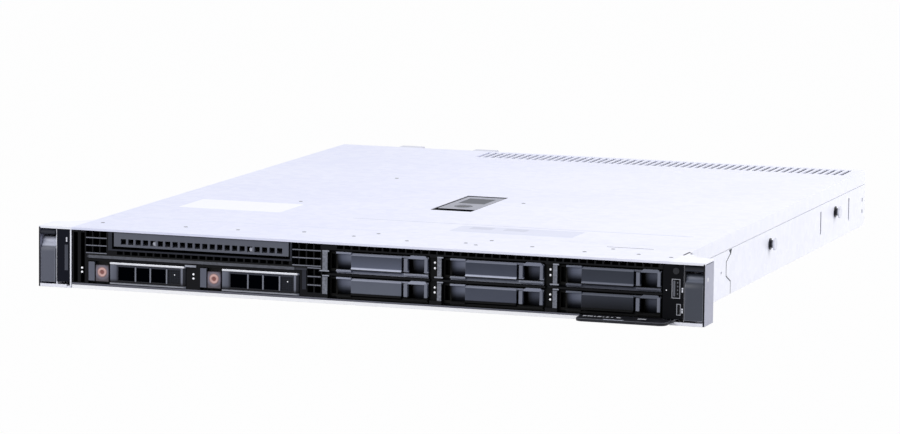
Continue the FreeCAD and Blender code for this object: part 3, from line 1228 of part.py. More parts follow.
def power_supply(index):
    """One supply: case with fan bore and inlet, handle, release latch and fan rotor."""
    name = index + 1
    left = s.psu_left + index * s.psu_pitch
    right = left + s.psu_width
    low = s.pan_sheet + s.slide_gap
    fan = (left + s.psu_fan_x, s.fan_centre)
    floor = REAR - s.psu_fan_pocket

    case = new_body(f"power_supply_{name}")
    pad(case, "y", REAR - s.psu_length, REAR, rect(left, right, low, s.psu_high))
    inlet = (left + s.inlet_left - s.psu_wall, left + s.inlet_left + s.inlet_width - s.psu_wall)
    pocket(case, "y", floor, REAR, Circle(*fan, s.psu_fan_bore))
    pocket(case, "y", REAR - s.inlet_sink, REAR, rect(*inlet, s.inlet_low, s.inlet_low + s.inlet_height))
    release = (left + s.release_left, left + s.release_left + s.release_width)
    release_high = s.release_low + s.release_height
    pocket(case, "y", REAR - s.release_sink - s.slide_gap, REAR, rect(
        release[0] - s.slide_gap, release[1] + s.release_travel + s.slide_gap,
        s.release_low - s.slide_gap, release_high + s.slide_gap))
    pad(case, "y", floor, floor + s.psu_rotor_length + 3, Circle(*fan, s.fan_shaft))
    guard = REAR - s.psu_guard
    bar = s.psu_guard_bar / 2
    reach = s.psu_fan_bore + 0.3
    pad(case, "y", guard, REAR, rect(fan[0] - bar, fan[0] + bar, fan[1] - reach, fan[1] + reach))
    pad(case, "y", guard, REAR, rect(fan[0] - reach, fan[0] + reach, fan[1] - bar, fan[1] + bar))
    pad(case, "y", guard, REAR, Circle(*fan, s.psu_guard_ring), Circle(
        *fan, s.psu_guard_ring - s.psu_guard_bar))

    bail = new_body(f"supply_handle_{name}")
    outline = rect(REAR, REAR + s.bail_reach, s.bail_low, s.bail_high)
    inside = rect(REAR, REAR + s.bail_reach - s.bail_bar, s.bail_low + s.bail_bar, s.bail_high - s.bail_bar)
    middle = left + s.bail_x
    half = s.bail_width / 2
    pad(bail, "x", middle - half, middle + half, outline)
    round_edges(bail, "x", s.bail_round, lambda p: near(p.y, REAR + s.bail_reach))
    pocket(bail, "x", middle - half, middle + half, inside)

    tab = new_body(f"supply_latch_{name}")
    pad(tab, "y", REAR - s.release_sink, REAR + s.release_reach,
        rect(*release, s.release_low, release_high))
    round_edges(tab, "x", s.blank_round, lambda p: near(p.y, REAR + s.release_reach))

    fan_rotor(f"supply_fan_rotor_{name}", s.psu_fan_tip, s.psu_fan_hub, s.psu_rotor_length,
              fan[0], floor + s.turn_gap)


def rail_studs():
    """Three headed studs on each side that hang the server on its slide rails."""
    studs = []
    for side in (-1, 1):
        for i in range(3):
            spot = (at(s.stud_first_depth + i * s.stud_pitch), s.stud_height)
            radii = (s.stud_shank, s.stud_flange, s.stud_neck, s.stud_head)
            lengths = (s.pan_sheet, s.stud_flange_thickness, s.stud_neck_length, s.stud_head_thickness)
            level = INNER
            discs = []
            for radius, length in zip(radii, lengths):
                limits = (level, level + length) if side > 0 else (-level - length, -level)
                discs.append(rod("x", spot, radius, *limits))
                level = level + length
            studs.append(fuse(*discs))
    keep("rail_studs", group(*studs))


# ---------------------------------------------------------------- assembly

chassis_pan()
rear_panel()
front_top_plate()
top_cover()
cover_latch()
drive_cage()
front_grille()
optical_blank()
for carrier in range(2):
    drive_carrier(carrier)
for number in range(6):
    drive_blank(number + 1, number // 2, 1 - number % 2)
ear("left_ear", -1, s.left_partition, True)
ear("right_ear", 1, s.right_partition, False)
slam_latch("left_slam_latch", -1, s.left_partition)
slam_latch("right_slam_latch", 1, s.right_partition)
latch_pins()
rack_screws()
left_panel()
right_panel()
information_tag()
drive_backplane()
fan_frames()
for number, centre in enumerate(fan_places(), 1):
    start = at(s.fan_depth + s.fan_length) - s.spider - s.rotor_length - s.turn_gap
    fan_rotor(f"fan_rotor_{number}", s.fan_tip, s.fan_hub, s.rotor_length, centre, start)
motherboard()
memory_modules()
heat_sinks()
air_shroud()
slot_covers()
rear_ports()
rear_id_button()
for supply in range(2):
    power_supply(supply)
rail_studs()

doc.recompute()
for item in doc.Objects:
    if {"Invalid", "Error"} & set(item.State):
        raise RuntimeError(f"{item.Label} failed: {item.State}")
    if item.TypeId == "PartDesign::Pocket" and item.Shape.Volume > item.BaseFeature.Shape.Volume - 0.01:
        raise RuntimeError(f"{item.Label} cuts nothing in {item.getParentGeoFeatureGroup().Label}")
for node, item in nodes.items():
    if item.Shape.isNull() or not item.Shape.isValid():
        raise RuntimeError(f"{node} has no valid shape")

os.makedirs("parts", exist_ok=True)
for node, item in nodes.items():
    item.Shape.exportStep(f"parts/{node}.step")
print(f"{len(nodes)} sub-parts")
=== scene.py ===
import math
import bmesh
import bpy
from mathutils import Matrix, Vector


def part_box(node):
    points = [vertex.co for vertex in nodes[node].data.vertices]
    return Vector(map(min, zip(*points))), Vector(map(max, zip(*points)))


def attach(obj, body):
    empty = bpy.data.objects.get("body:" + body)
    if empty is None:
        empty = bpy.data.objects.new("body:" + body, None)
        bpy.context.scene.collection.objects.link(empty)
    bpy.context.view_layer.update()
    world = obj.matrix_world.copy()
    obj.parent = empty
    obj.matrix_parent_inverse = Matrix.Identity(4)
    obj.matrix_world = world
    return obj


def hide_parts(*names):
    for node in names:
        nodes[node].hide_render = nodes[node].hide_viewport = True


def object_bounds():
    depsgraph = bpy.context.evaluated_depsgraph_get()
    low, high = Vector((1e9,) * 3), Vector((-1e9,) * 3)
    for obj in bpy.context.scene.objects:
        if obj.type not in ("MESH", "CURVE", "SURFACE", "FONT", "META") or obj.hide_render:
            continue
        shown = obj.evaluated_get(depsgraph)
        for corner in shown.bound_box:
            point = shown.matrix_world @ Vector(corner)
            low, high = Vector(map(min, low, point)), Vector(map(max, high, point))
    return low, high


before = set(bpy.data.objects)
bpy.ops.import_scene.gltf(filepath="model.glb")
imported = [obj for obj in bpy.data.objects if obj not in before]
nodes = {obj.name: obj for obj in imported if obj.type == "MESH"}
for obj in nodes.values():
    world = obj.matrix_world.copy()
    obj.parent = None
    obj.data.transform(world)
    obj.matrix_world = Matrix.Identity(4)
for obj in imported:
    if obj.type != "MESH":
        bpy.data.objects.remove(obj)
cad_low, cad_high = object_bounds()


# ---------------------------------------------------------------- Camera
# A long lens, just over three metres in front of the machine, a little to
# its right and above it, and very slightly rolled.
camera_place = (1.0239, -3.1459, 0.4596)
camera_turn, camera_rise, camera_roll = (math.radians(a) for a in (18.55, 7.44, 0.67))
camera_back = Vector((math.sin(camera_turn) * math.cos(camera_rise),
                      -math.cos(camera_turn) * math.cos(camera_rise),
                      math.sin(camera_rise)))
level_right = Vector((0, 0, 1)).cross(camera_back).normalized()
level_up = camera_back.cross(level_right)
camera_right = level_right * math.cos(camera_roll) + level_up * math.sin(camera_roll)
camera_up = camera_back.cross(camera_right)
lens = bpy.data.cameras.new("studio_camera")
lens.sensor_width = 36.0
lens.lens = 180.39
lens.clip_end = 60.0
camera = bpy.data.objects.new("studio_camera", lens)
camera.matrix_world = (Matrix.Translation(camera_place)
                       @ Matrix((camera_right, camera_up, camera_back)).transposed().to_4x4())
bpy.context.scene.collection.objects.link(camera)
bpy.context.scene.camera = camera


# ---------------------------------------------------------------- Studio
# A seamless sheet of matt card under the machine, lit white but throwing
# little light back up, a pale tent round it, and three soft boxes: one
# overhead, one in front and one at the right-hand side.
def linear(text):
    """The linear colour of an sRGB hex value."""
    parts = [int(text[i:i + 2], 16) / 255 for i in (1, 3, 5)]
    return tuple(p / 12.92 if p <= 0.04045 else ((p + 0.055) / 1.055) ** 2.4 for p in parts) + (1.0,)


def add(tree, kind, links=None, **settings):
    """Adds a node: links are its inputs' values or the sockets that feed them."""
    made = tree.nodes.new(kind)
    for name, value in settings.items():
        setattr(made, name, value)
    for name, value in (links or {}).items():
        if isinstance(value, bpy.types.NodeSocket):
            tree.links.new(value, made.inputs[name])
        else:
            made.inputs[name].default_value = value
    return made


def seen_directly(tree):
    """1 for what the camera, a mirror or glass sees, 0 for what only lights a surface."""
    path = add(tree, "ShaderNodeLightPath").outputs
    either = add(tree, "ShaderNodeMath", {0: path["Is Camera Ray"], 1: path["Is Glossy Ray"]},
                 operation="MAXIMUM")
    any_of_them = add(tree, "ShaderNodeMath", {0: either.outputs[0], 1: path["Is Transmission Ray"]},
                      operation="MAXIMUM")
    return any_of_them.outputs[0]


tent = bpy.data.worlds.new("pale_tent")
tent.use_nodes = True
tent.node_tree.nodes.clear()
tent_light = add(tent.node_tree, "ShaderNodeBackground", {"Color": linear("#F3F5FF"), "Strength": 0.72})
tent_view = add(tent.node_tree, "ShaderNodeBackground", {"Color": linear("#FFFFFF"), "Strength": 1.0})
tent_mix = add(tent.node_tree, "ShaderNodeMixShader", {0: seen_directly(tent.node_tree),
                                                       1: tent_light.outputs[0], 2: tent_view.outputs[0]})
add(tent.node_tree, "ShaderNodeOutputWorld", {"Surface": tent_mix.outputs[0]})
bpy.context.scene.world = tent
bpy.context.scene.view_settings.view_transform = "Standard"

card = bpy.data.materials.new("matt_white_card")
card.use_nodes = True
card.node_tree.nodes.clear()
card_paper = add(card.node_tree, "ShaderNodeBsdfDiffuse", {"Color": linear("#8E919D")})
card_white = add(card.node_tree, "ShaderNodeEmission", {"Color": linear("#FFFFFF"), "Strength": 1.0})
card_share = add(card.node_tree, "ShaderNodeMath", {0: seen_directly(card.node_tree), 1: 0.985},
                 operation="MULTIPLY")
card_mix = add(card.node_tree, "ShaderNodeMixShader", {0: card_share.outputs[0],
                                                       1: card_paper.outputs[0], 2: card_white.outputs[0]})
add(card.node_tree, "ShaderNodeOutputMaterial", {"Surface": card_mix.outputs[0]})
floor_mesh = bpy.data.meshes.new("studio_floor")
floor_half, floor_z = 12.0, cad_low.z - 0.0003
floor_mesh.from_pydata([(-floor_half, -floor_half, floor_z), (floor_half, -floor_half, floor_z),
                        (floor_half, floor_half, floor_z), (-floor_half, floor_half, floor_z)],
                       [], [(0, 1, 2, 3)])
floor_mesh.materials.append(card)
floor = bpy.data.objects.new("studio_floor", floor_mesh)
bpy.context.scene.collection.objects.link(floor)

for lamp_name, lamp_place, lamp_aim, lamp_size, lamp_power in (
        ("overhead_soft_box", (0.9, 0.35, 0.9), (0.3, 0.1, 0.0), 0.8, 4.4),
        ("front_soft_box", (-1.1, -2.1, 1.2), (0.0, 0.0, 0.0), 1.3, 26.0),
        ("side_soft_box", (2.4, 0.9, 0.7), (0.2, 0.15, 0.0), 1.4, 27.0)):
    lamp = bpy.data.lights.new(lamp_name, "AREA")
    lamp.size, lamp.energy, lamp.color = lamp_size, lamp_power, (1.0, 0.985, 0.96)
    lamp_object = bpy.data.objects.new(lamp_name, lamp)
    lamp_object.matrix_world = (Matrix.Translation(lamp_place)
                                @ (Vector(lamp_place) - Vector(lamp_aim)).to_track_quat("Z", "Y")
                                .to_matrix().to_4x4())
    bpy.context.scene.collection.objects.link(lamp_object)


# ---------------------------------------------------------------- Chassis pan and side studs
# Zinc-coated steel sheet, 1.2 mm thick, folded into a shallow tray. The zinc
# freezes in faint crystals a few millimetres wide, so it shines unevenly.
def new_finish(name):
    """A material with one surface shader; gives its tree and the shader."""
    made = bpy.data.materials.new(name)
    made.use_nodes = True
    made.node_tree.nodes.clear()
    shader = add(made.node_tree, "ShaderNodeBsdfPrincipled")
    add(made.node_tree, "ShaderNodeOutputMaterial", {"Surface": shader.outputs[0]})
    return made, made.node_tree, shader


def wire(tree, source, shader, name):
    """Feeds one input of a shader."""
    tree.links.new(source, shader.inputs[name])


def colour_between(tree, shader, share, low, high):
    """Colours a shader between two tones, by a share from 0 to 1."""
    tone = add(tree, "ShaderNodeMix", {0: share, 6: linear(low), 7: linear(high)}, data_type="RGBA")
    wire(tree, tone.outputs[2], shader, "Base Color")


def grained(tree, shader, place, grain_mm, strength, height_mm):
    """Roughens a shader with fine bumps of one size."""
    grain = add(tree, "ShaderNodeTexNoise", {"Vector": place, "Scale": 1000 / grain_mm, "Detail": 2.0})
    bump = add(tree, "ShaderNodeBump", {"Height": grain.outputs[0], "Strength": strength,
                                        "Distance": height_mm * mm})
    wire(tree, bump.outputs[0], shader, "Normal")


def ramp_of(tree, share, stops):
    """A colour ramp over a share, from (place, colour) pairs that start at 0 and end at 1."""
    ramp = add(tree, "ShaderNodeValToRGB", {"Fac": share})
    marks = ramp.color_ramp.elements
    for mark, (spot, tint) in zip((marks[0], marks[1]), (stops[0], stops[-1])):
        mark.position, mark.color = spot, linear(tint)
    for spot, tint in stops[1:-1]:
        marks.new(spot).color = linear(tint)
    return ramp.outputs[0]


def zinc_steel(name, pale, shade, roughness, crystal_mm, metallic=0.35):
    """Hot-dip zinc on steel: pale crystals, fine rolling grain, a little cloudiness."""
    made, tree, shader = new_finish(name)
    shader.inputs["Metallic"].default_value = metallic
    place = add(tree, "ShaderNodeTexCoord").outputs["Object"]
    crystals = add(tree, "ShaderNodeTexVoronoi", {"Vector": place, "Scale": 1000 / crystal_mm})
    clouds = add(tree, "ShaderNodeTexNoise", {"Vector": place, "Scale": 9.0, "Detail": 3.0})
    tone = add(tree, "ShaderNodeSeparateColor", {"Color": crystals.outputs["Color"]})
    mixed = add(tree, "ShaderNodeMath", {0: tone.outputs[0], 1: 0.45, 2: clouds.outputs[0]},
                operation="MULTIPLY_ADD")
    colour_between(tree, shader, mixed.outputs[0], shade, pale)
    gloss = add(tree, "ShaderNodeMapRange", {0: mixed.outputs[0], 3: roughness + 0.08,
                                             4: roughness - 0.06})
    wire(tree, gloss.outputs[0], shader, "Roughness")
    grained(tree, shader, place, 1.5, 0.12, 0.04)
    return made


def dress(node, finish):
    """Gives a CAD node its finish."""
    mesh = nodes[node].data
    mesh.materials.clear()
    mesh.materials.append(finish)


mm = 0.001
front_y = cad_low.y + 17 * mm
top_z = cad_high.z


def painted_light_and_wear_along(made, axis, stops):
    """Multiplies a finish by tints given at places in millimetres along X, Y or Z: painted light and shade,
    and wear.
    """
    tree = made.node_tree
    shader = tree.nodes["Principled BSDF"]
    plain = shader.inputs["Base Color"].links[0].from_socket
    start = front_y if axis == "Y" else 0.0
    low, high = stops[0][0], stops[-1][0]
    place = add(tree, "ShaderNodeTexCoord").outputs["Object"]
    split = add(tree, "ShaderNodeSeparateXYZ", {0: place})
    share = add(tree, "ShaderNodeMapRange", {0: split.outputs[axis], 1: start + low * mm,
                                             2: start + high * mm})
    ramp = ramp_of(tree, share.outputs[0], [((spot - low) / (high - low), tint) for spot, tint in stops])
    tinted = add(tree, "ShaderNodeMix", {0: 1.0, 6: plain, 7: ramp},
                 data_type="RGBA", blend_type="MULTIPLY")
    wire(tree, tinted.outputs[2], shader, "Base Color")
    return made


pan_zinc = zinc_steel("zinc_coated_pan_steel", "#F6F7FD", "#E8E9F3", 0.42, 5.0, 0.15)
dress("chassis_pan", pan_zinc)
dress("rear_panel", pan_zinc)
# Bright nickel on turned steel: small hard highlights on screws and pins.
nickel = zinc_steel("bright_nickel_plate", "#D8D9DE", "#BFC0C6", 0.25, 1.2, 1.0)
dress("rack_screws", nickel)
dress("slam_latch_pins", nickel)
# Turned studs: oil-blackened necks under heads worn bright by the rails.
stud_steel = zinc_steel("oil_blackened_stud_steel", "#E9EAF2", "#D3D5DE", 0.4, 1.2, 0.3)
dress("rail_studs", painted_light_and_wear_along(stud_steel, "X", ((-220.6, "#FFFFFF"), (-220.2, "#202229"),
                                                 (220.2, "#202229"), (220.6, "#FFFFFF"))))


# ---------------------------------------------------------------- Top cover and front plate
# The same steel in 1 mm: a riveted front plate, and a cover that slides back
# to come off. Across X the flats are painted darker towards the left as painted light falloff, and the folded
# skirts are painted bright as painted light.
cover_zinc_painted_light = zinc_steel("zinc_cover_steel_painted_light", "#F6F7FD", "#EBEDF8", 0.38, 6.0, 0.2)
painted_light_and_wear_along(cover_zinc_painted_light, "X", ((-217.2, "#FFFFFF"), (-216.2, "#EAECF9"), (216.2, "#F7F7FD"),
                             (217.2, "#FFFFFF")))
dress("front_top_plate", cover_zinc_painted_light)
dress("top_cover", cover_zinc_painted_light)


def at(x, depth, z):
    """A point from its millimetres across, behind the front face and up."""
    return Vector((x * mm, front_y + depth * mm, z * mm))


def ridden(name, mesh, body):
    """Puts a finished mesh in the scene, on its body."""
    made = bpy.data.objects.new(name, mesh)
    bpy.context.scene.collection.objects.link(made)
    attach(made, body)
    return made


def grown(name, tree, start, sizes, body):
    """Runs a node tree on a starting mesh and keeps its result as a plain piece."""
    seed = bpy.data.objects.new(name + "_seed", start)
    bpy.context.scene.collection.objects.link(seed)
    modifier = seed.modifiers.new(name, "NODES")
    modifier.node_group = tree
    for label, value in sizes.items():
        socket = next(i for i in tree.interface.items_tree
                      if i.item_type == "SOCKET" and i.in_out == "INPUT" and i.name == label)
        modifier[socket.identifier] = value
    mesh = bpy.data.meshes.new_from_object(seed.evaluated_get(bpy.context.evaluated_depsgraph_get()))
    seed.modifiers.remove(modifier)
    bpy.data.objects.remove(seed)
    return ridden(name, mesh, body)


def tree_of(name, *sizes):
    """An empty geometry tree with a mesh in, named sizes in, and a mesh out."""
    tree = bpy.data.node_groups.new(name, "GeometryNodeTree")
    tree.interface.new_socket("Geometry", in_out="INPUT", socket_type="NodeSocketGeometry")
    for size in sizes:
        tree.interface.new_socket(size, in_out="INPUT", socket_type="NodeSocketFloat")
    tree.interface.new_socket("Geometry", in_out="OUTPUT", socket_type="NodeSocketGeometry")
    return tree, add(tree, "NodeGroupInput").outputs


def even_finish(name, colour, **constants):
    """A finish of one even colour, with constants for the shader's other inputs."""
    made, _, shader = new_finish(name)
    shader.inputs["Base Color"].default_value = linear(colour)
    for label, value in constants.items():
        shader.inputs[label.replace("_", " ")].default_value = value
    return made


def close_tree(tree, geometry, finish):
    """Ends a tree: instances made real, the finish set, and the mesh sent out."""
    real = add(tree, "GeometryNodeRealizeInstances", {"Geometry": geometry})
    painted = add(tree, "GeometryNodeSetMaterial", {"Geometry": real.outputs[0], "Material": finish})
    add(tree, "NodeGroupOutput", {0: painted.outputs[0]})


def close_stand(tree, points, piece, finish):
    """Ends a tree that stands one piece on each point."""
    stand = add(tree, "GeometryNodeInstanceOnPoints", {"Points": points, "Instance": piece.outputs[0]})
    close_tree(tree, stand.outputs[0], finish)


def spots(places):
    """A mesh of loose points to stand things on."""
    mesh = bpy.data.meshes.new("spots")
    mesh.from_pydata([tuple(p) for p in places], [], [])
    return mesh


# Half-shear dimples and rivet heads on the plate and the cover: low discs
# painted dark as painted shade.
dimple_shade = even_finish("zinc_painted_shade", "#2E313B", Metallic=0.5, Roughness=0.55)
dimple_tree, given = tree_of("dimple_rings", "Radius", "Height")
dimple = add(dimple_tree, "GeometryNodeMeshCone", {"Radius Top": 1.3 * mm, "Radius Bottom": given["Radius"],
                                                   "Depth": given["Height"], "Vertices": 20})
close_stand(dimple_tree, given["Geometry"], dimple, dimple_shade)
plate_dimples = ((-205.7, 30.7), (-144, 33.3), (-105, 33.3), (-59, 41.7), (-20, 35), (-8.3, 53.3),
                 (21.7, 26.7), (62.3, 32.7), (71.7, 26), (75, 51), (110, 32.7), (150, 23.3),
                 (164, 44), (187.3, 26), (211.7, 20))
cover_dimples = ((-120, 198), (-101.7, 358), (33.3, 253))
for name, marks, body in (("plate_dimples", plate_dimples, "chassis"),
                          ("cover_dimples", cover_dimples, "cover")):
    grown(name, dimple_tree,
          spots([at(x, depth, 0) + Vector((0, 0, top_z - 0.1 * mm)) for x, depth in marks]),
          {"Radius": 1.9 * mm, "Height": 0.16 * mm}, body)


def prism(name, axis, low, high, outline, finish, body, edge=0.0):
    """A solid drawn along X, Y or Z between two places in mm; edge is its bevel.

    The outline holds the other two coordinates, in their order.
    """
    built = bmesh.new()
    rings = []
    for level in (low, high):
        spots_round = [{"x": (level, u, v), "y": (u, level, v), "z": (u, v, level)}[axis]
                       for u, v in outline]
        rings.append([built.verts.new(at(*spot)) for spot in spots_round])
    built.faces.new(rings[0])
    built.faces.new(rings[1])
    count = len(outline)
    for i in range(count):
        built.faces.new((rings[0][i], rings[0][(i + 1) % count],
                         rings[1][(i + 1) % count], rings[1][i]))
    bmesh.ops.recalc_face_normals(built, faces=built.faces)
    if edge:
        bmesh.ops.bevel(built, geom=built.edges[:], offset=edge * mm, segments=2, profile=0.7,
                        affect="EDGES", clamp_overlap=True)
    mesh = bpy.data.meshes.new(name)
    built.to_mesh(mesh)
    built.free()
    mesh.materials.append(finish)
    return ridden(name, mesh, body)


def oblong(left, right, low, high):
    """The outline of a rectangle."""
    return (left, low), (right, low), (right, high), (left, high)


def rounded(left, right, low, high, corner, steps=4):
    """The outline of a rectangle with round corners."""
    outline = []
    for u, v, start in ((right - corner, high - corner, 0), (left + corner, high - corner, 90),
                        (left + corner, low + corner, 180), (right - corner, low + corner, 270)):
        for step in range(steps + 1):
            turn = math.radians(start + step * 90 / steps)
            outline.append((u + corner * math.cos(turn), v + corner * math.sin(turn)))
    return outline


# A paper label and a film label, both left blank. The paper has a soft
# fibre; the film is smooth and a little cloudy.
def two_tone(name, pale, shade, roughness, grain_mm):
    """A matt finish that wanders between two near colours."""
    made, tree, shader = new_finish(name)
    place = add(tree, "ShaderNodeTexCoord").outputs["Object"]
    grain = add(tree, "ShaderNodeTexNoise", {"Vector": place, "Scale": 1000 / grain_mm, "Detail": 2.0})
    colour_between(tree, shader, grain.outputs[0], pale, shade)
    shader.inputs["Roughness"].default_value = roughness
    return made


label_paper = two_tone("coated_label_paper", "#FAFAFC", "#F1F2F6", 0.6, 1.4)
grey_film = two_tone("grey_polyester_film", "#DDE0EF", "#D5D8E8", 0.45, 17.0)
lid = top_z / mm
prism("cover_service_label", "z", lid - 0.05, lid + 0.06, rounded(-190, -111.7, 133, 182, 1.5),
      label_paper, "cover")
prism("cover_film_label", "z", lid - 0.05, lid + 0.04, rounded(31.7, 121.7, 86.7, 118, 1.5),
      grey_film, "cover")
# A crease across the cover, drawn as a grey line of painted shade, and two greyer patches on the film.
crease_zinc = two_tone("crease_painted_shade", "#B9BCCB", "#C9CCDA", 0.5, 9.0)
prism("cover_crease", "z", lid - 0.05, lid + 0.05, rounded(-53, 198, 124.6, 125.4, 0.3),
      crease_zinc, "cover")
patch_film = two_tone("greyer_polyester_patch", "#CDD0DF", "#C6C9D9", 0.45, 17.0)
for number, label_left in enumerate((41.0, 66.0), 1):
    prism(f"cover_film_patch_{number}", "z", lid, lid + 0.07,
          rounded(label_left, label_left + 16.5, 103, 114, 0.8), patch_film, "cover")
# Dark strips of painted shadow where the side brackets meet the pan and the plate, and in the plate's groove
# and slit.
prism("plate_groove_shadow", "z", lid - 0.05, lid + 0.05, rounded(156.7, 190, 52.6, 53.5, 0.3),
      dimple_shade, "chassis")
for side, wall in (("left", -217.0), ("right", 217.0)):
    prism(f"{side}_bracket_shadow_line", "x", wall - 0.05, wall + 0.05,
          ((154.4, 0.4), (154.4, 8.7), (142.4, 13.7), (142.4, 24.3), (154.4, 29.3), (154.4, 31.6),
           (155.4, 31.6), (155.4, 28.8), (143.6, 23.8), (143.6, 14.3), (155.4, 9.3), (155.4, 0.4)),
          dimple_shade, "chassis")
    prism(f"{side}_bracket_corner_shadow", "x", wall - 0.05, wall + 0.06,
          ((149.5, 31.7), (157.5, 31.7), (154.8, 27.6)), dimple_shade, "chassis")
prism("shoulder_slit_shadow", "z", lid - 0.05, lid + 0.05, rounded(215.9, 217.4, 33, 50, 0.6),
      dimple_shade, "chassis")


# ---------------------------------------------------------------- Front grille and its louvres
# A dark grille of ABS with a spark-eroded, faintly pebbled skin. What stands
# out of its face is painted grey as painted light; the face and the holes are painted dark as painted shade.
def moulded(name, shade, pale, roughness, pebble_mm, strength=0.25, gloss=0.25):
    """Moulded plastic: faint clouding, fine pebble, satin gloss."""
    made, tree, shader = new_finish(name)
    place = add(tree, "ShaderNodeTexCoord").outputs["Object"]
    cloud = add(tree, "ShaderNodeTexNoise", {"Vector": place, "Scale": 55.0, "Detail": 4.0,
                                             "Roughness": 0.6})
    colour_between(tree, shader, cloud.outputs[0], shade, pale)
    shine = add(tree, "ShaderNodeMapRange", {0: cloud.outputs[0], 3: roughness - 0.05,
                                             4: roughness + 0.08})
    wire(tree, shine.outputs[0], shader, "Roughness")
    shader.inputs["IOR"].default_value = 1.53
    shader.inputs["Specular IOR Level"].default_value = gloss
    grained(tree, shader, place, pebble_mm, strength, 0.06)
    return made


def softened(node, body, ease_mm, finish, edge_tone, hollow=None):
    """A copy of a moulded node with eased outer edges in a second finish, a painted highlight where it is
    paler, and its downward slants painted dark as painted shade.
    """
    built = bmesh.new()
    built.from_mesh(nodes[node].data)
    bmesh.ops.remove_doubles(built, verts=built.verts, dist=0.001 * mm)
    bmesh.ops.dissolve_limit(built, angle_limit=math.radians(1), verts=built.verts, edges=built.edges)
    outer = [edge for edge in built.edges
             if edge.is_manifold and edge.is_convex and edge.calc_face_angle() > math.radians(25)]
    bmesh.ops.bevel(built, geom=outer, offset=ease_mm * mm, segments=2, profile=0.6,
                    affect="EDGES", clamp_overlap=True, material=1)
    mesh = bpy.data.meshes.new(node + "_eased")
    for made in (finish, edge_tone, hollow or edge_tone):
        mesh.materials.append(made)
    if hollow:
        for face in built.faces:
            if face.material_index == 0 and -0.8 < face.normal.z < -0.55 and face.normal.y < -0.5:
                face.material_index = 2
    built.to_mesh(mesh)
    built.free()
    eased = ridden(node + "_eased", mesh, body)
    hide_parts(node)
    return eased


# Charcoal-black ABS, painted by depth: near black in the holes as painted shade, greyer where it stands out
# as painted light.
grille_abs = painted_light_and_wear_along(moulded("pebbled_black_abs", "#CDCED6", "#FFFFFF", 0.55, 0.9, 0.3, 0.1), "Y",
                        ((0.3, "#3A3C44"), (0.75, "#33353C"), (1.0, "#0D0E12"), (2.6, "#06070A")))
# Cage steel painted flat grey-black as painted shade, for the shadow behind the vents, with no shine at all.
cage_steel = moulded("cage_steel_painted_shade", "#08090C", "#0E0F13", 0.7, 1.2, 0.2, 0.03)
dress("front_grille", grille_abs)
dress("drive_cage", cage_steel)

# The same ABS painted grey as painted light: textured faces on the posts between the bays, with caps painted
# paler as painted highlight.
post_abs = two_tone("post_abs_painted_light", "#9A9EA9", "#1D1F25", 0.5, 1.5)
cap_abs = two_tone("post_cap_abs_painted_highlight", "#B4B8C2", "#6E717B", 0.45, 1.5)
for number, (left, right) in enumerate(((-30.4, -26.7), (52.6, 55.6), (134.8, 137.8)), 1):
    for level, (low, high) in enumerate(((6.6, 18.5), (23.1, 35.9)), 1):
        prism(f"bay_post_{number}_{level}", "y", 0.95, 1.3, oblong(left, right, low, high), post_abs,
              "chassis", 0.12)
    for cap, (low, reach) in enumerate(((18.9, 0.0), (22.2, 2.0), (35.9, 0.0)), 1):
        prism(f"bay_post_cap_{number}_{cap}", "y", 0.7, 1.2,
              oblong(left - reach, right + 1.2, low, low + 0.9), cap_abs, "chassis", 0.12)


def bar_tree(name, finish):
    """A tree that turns loose edges into round bars."""
    tree, given = tree_of(name, "Half height")
    bars = add(tree, "GeometryNodeMeshToCurve", {"Mesh": given["Geometry"]})
    section = add(tree, "GeometryNodeCurvePrimitiveCircle", {"Radius": given["Half height"],
                                                             "Resolution": 8})
    swept = add(tree, "GeometryNodeCurveToMesh", {"Curve": bars.outputs[0], "Fill Caps": True,
                                                  "Profile Curve": section.outputs[0]})
    close_tree(tree, swept.outputs[0], finish)
    return tree


def segments(runs):
    """A mesh of loose edges, one for each run."""
    mesh = bpy.data.meshes.new("runs")
    ends = [tuple(p) for run in runs for p in run]
    mesh.from_pydata(ends, [(i, i + 1) for i in range(0, len(ends), 2)], [])
    return mesh


# Louvre bars across the vents, painted a mid grey as painted light that lifts them off the dark.
louvre_plastic = moulded("louvre_abs_painted_light", "#6C6F79", "#858891", 0.42, 0.8)
upper_levels, lower_levels = (25.4, 30.7, 36.1), (12.2, 18.1, 24.0)
louvres = [(at(start, 1.2, z), at(end, 1.2, z))
           for start, end, levels in ((-205.8, -190.2, upper_levels), (-52.4, -31.4, upper_levels),
                                      (-41.2, -31.5, lower_levels))
           for z in levels]
grown("grille_louvres", bar_tree("rounded_bars", louvre_plastic), segments(louvres),
      {"Half height": 0.4 * mm}, "chassis")

# A folded edge strip, dark grey, closes the sill between the ears;
# it is lower where the information tag slides over it.
sill_paint = moulded("dark_grey_sill_strip", "#5A5B64", "#6C6D77", 0.5, 1.5, 0.1, 0.3)
prism("sill_strip", "y", 0.8, 1.15, ((-216.4, 2.5), (153.8, 2.5), (153.8, 3.65), (-26.6, 3.65),
                                     (-26.6, 3.9), (-216.4, 3.9)), sill_paint, "chassis", 0.15)
# The shelf over the carriers stands proud and is painted grey along its face as painted light; its tab is
# painted paler as painted highlight.
shelf_abs = two_tone("shelf_abs_painted_light", "#5C5F69", "#2A2C33", 0.5, 2.2)
prism("bay_shelf_lit_face", "y", 0.05, 0.35, oblong(-203.5, -50.5, 22.1, 24.1), shelf_abs,
      "chassis", 0.1)
prism("bay_shelf_tab", "y", 0.05, 0.35, oblong(-131.3, -123.0, 19.6, 21.0), cap_abs,
      "chassis", 0.1)
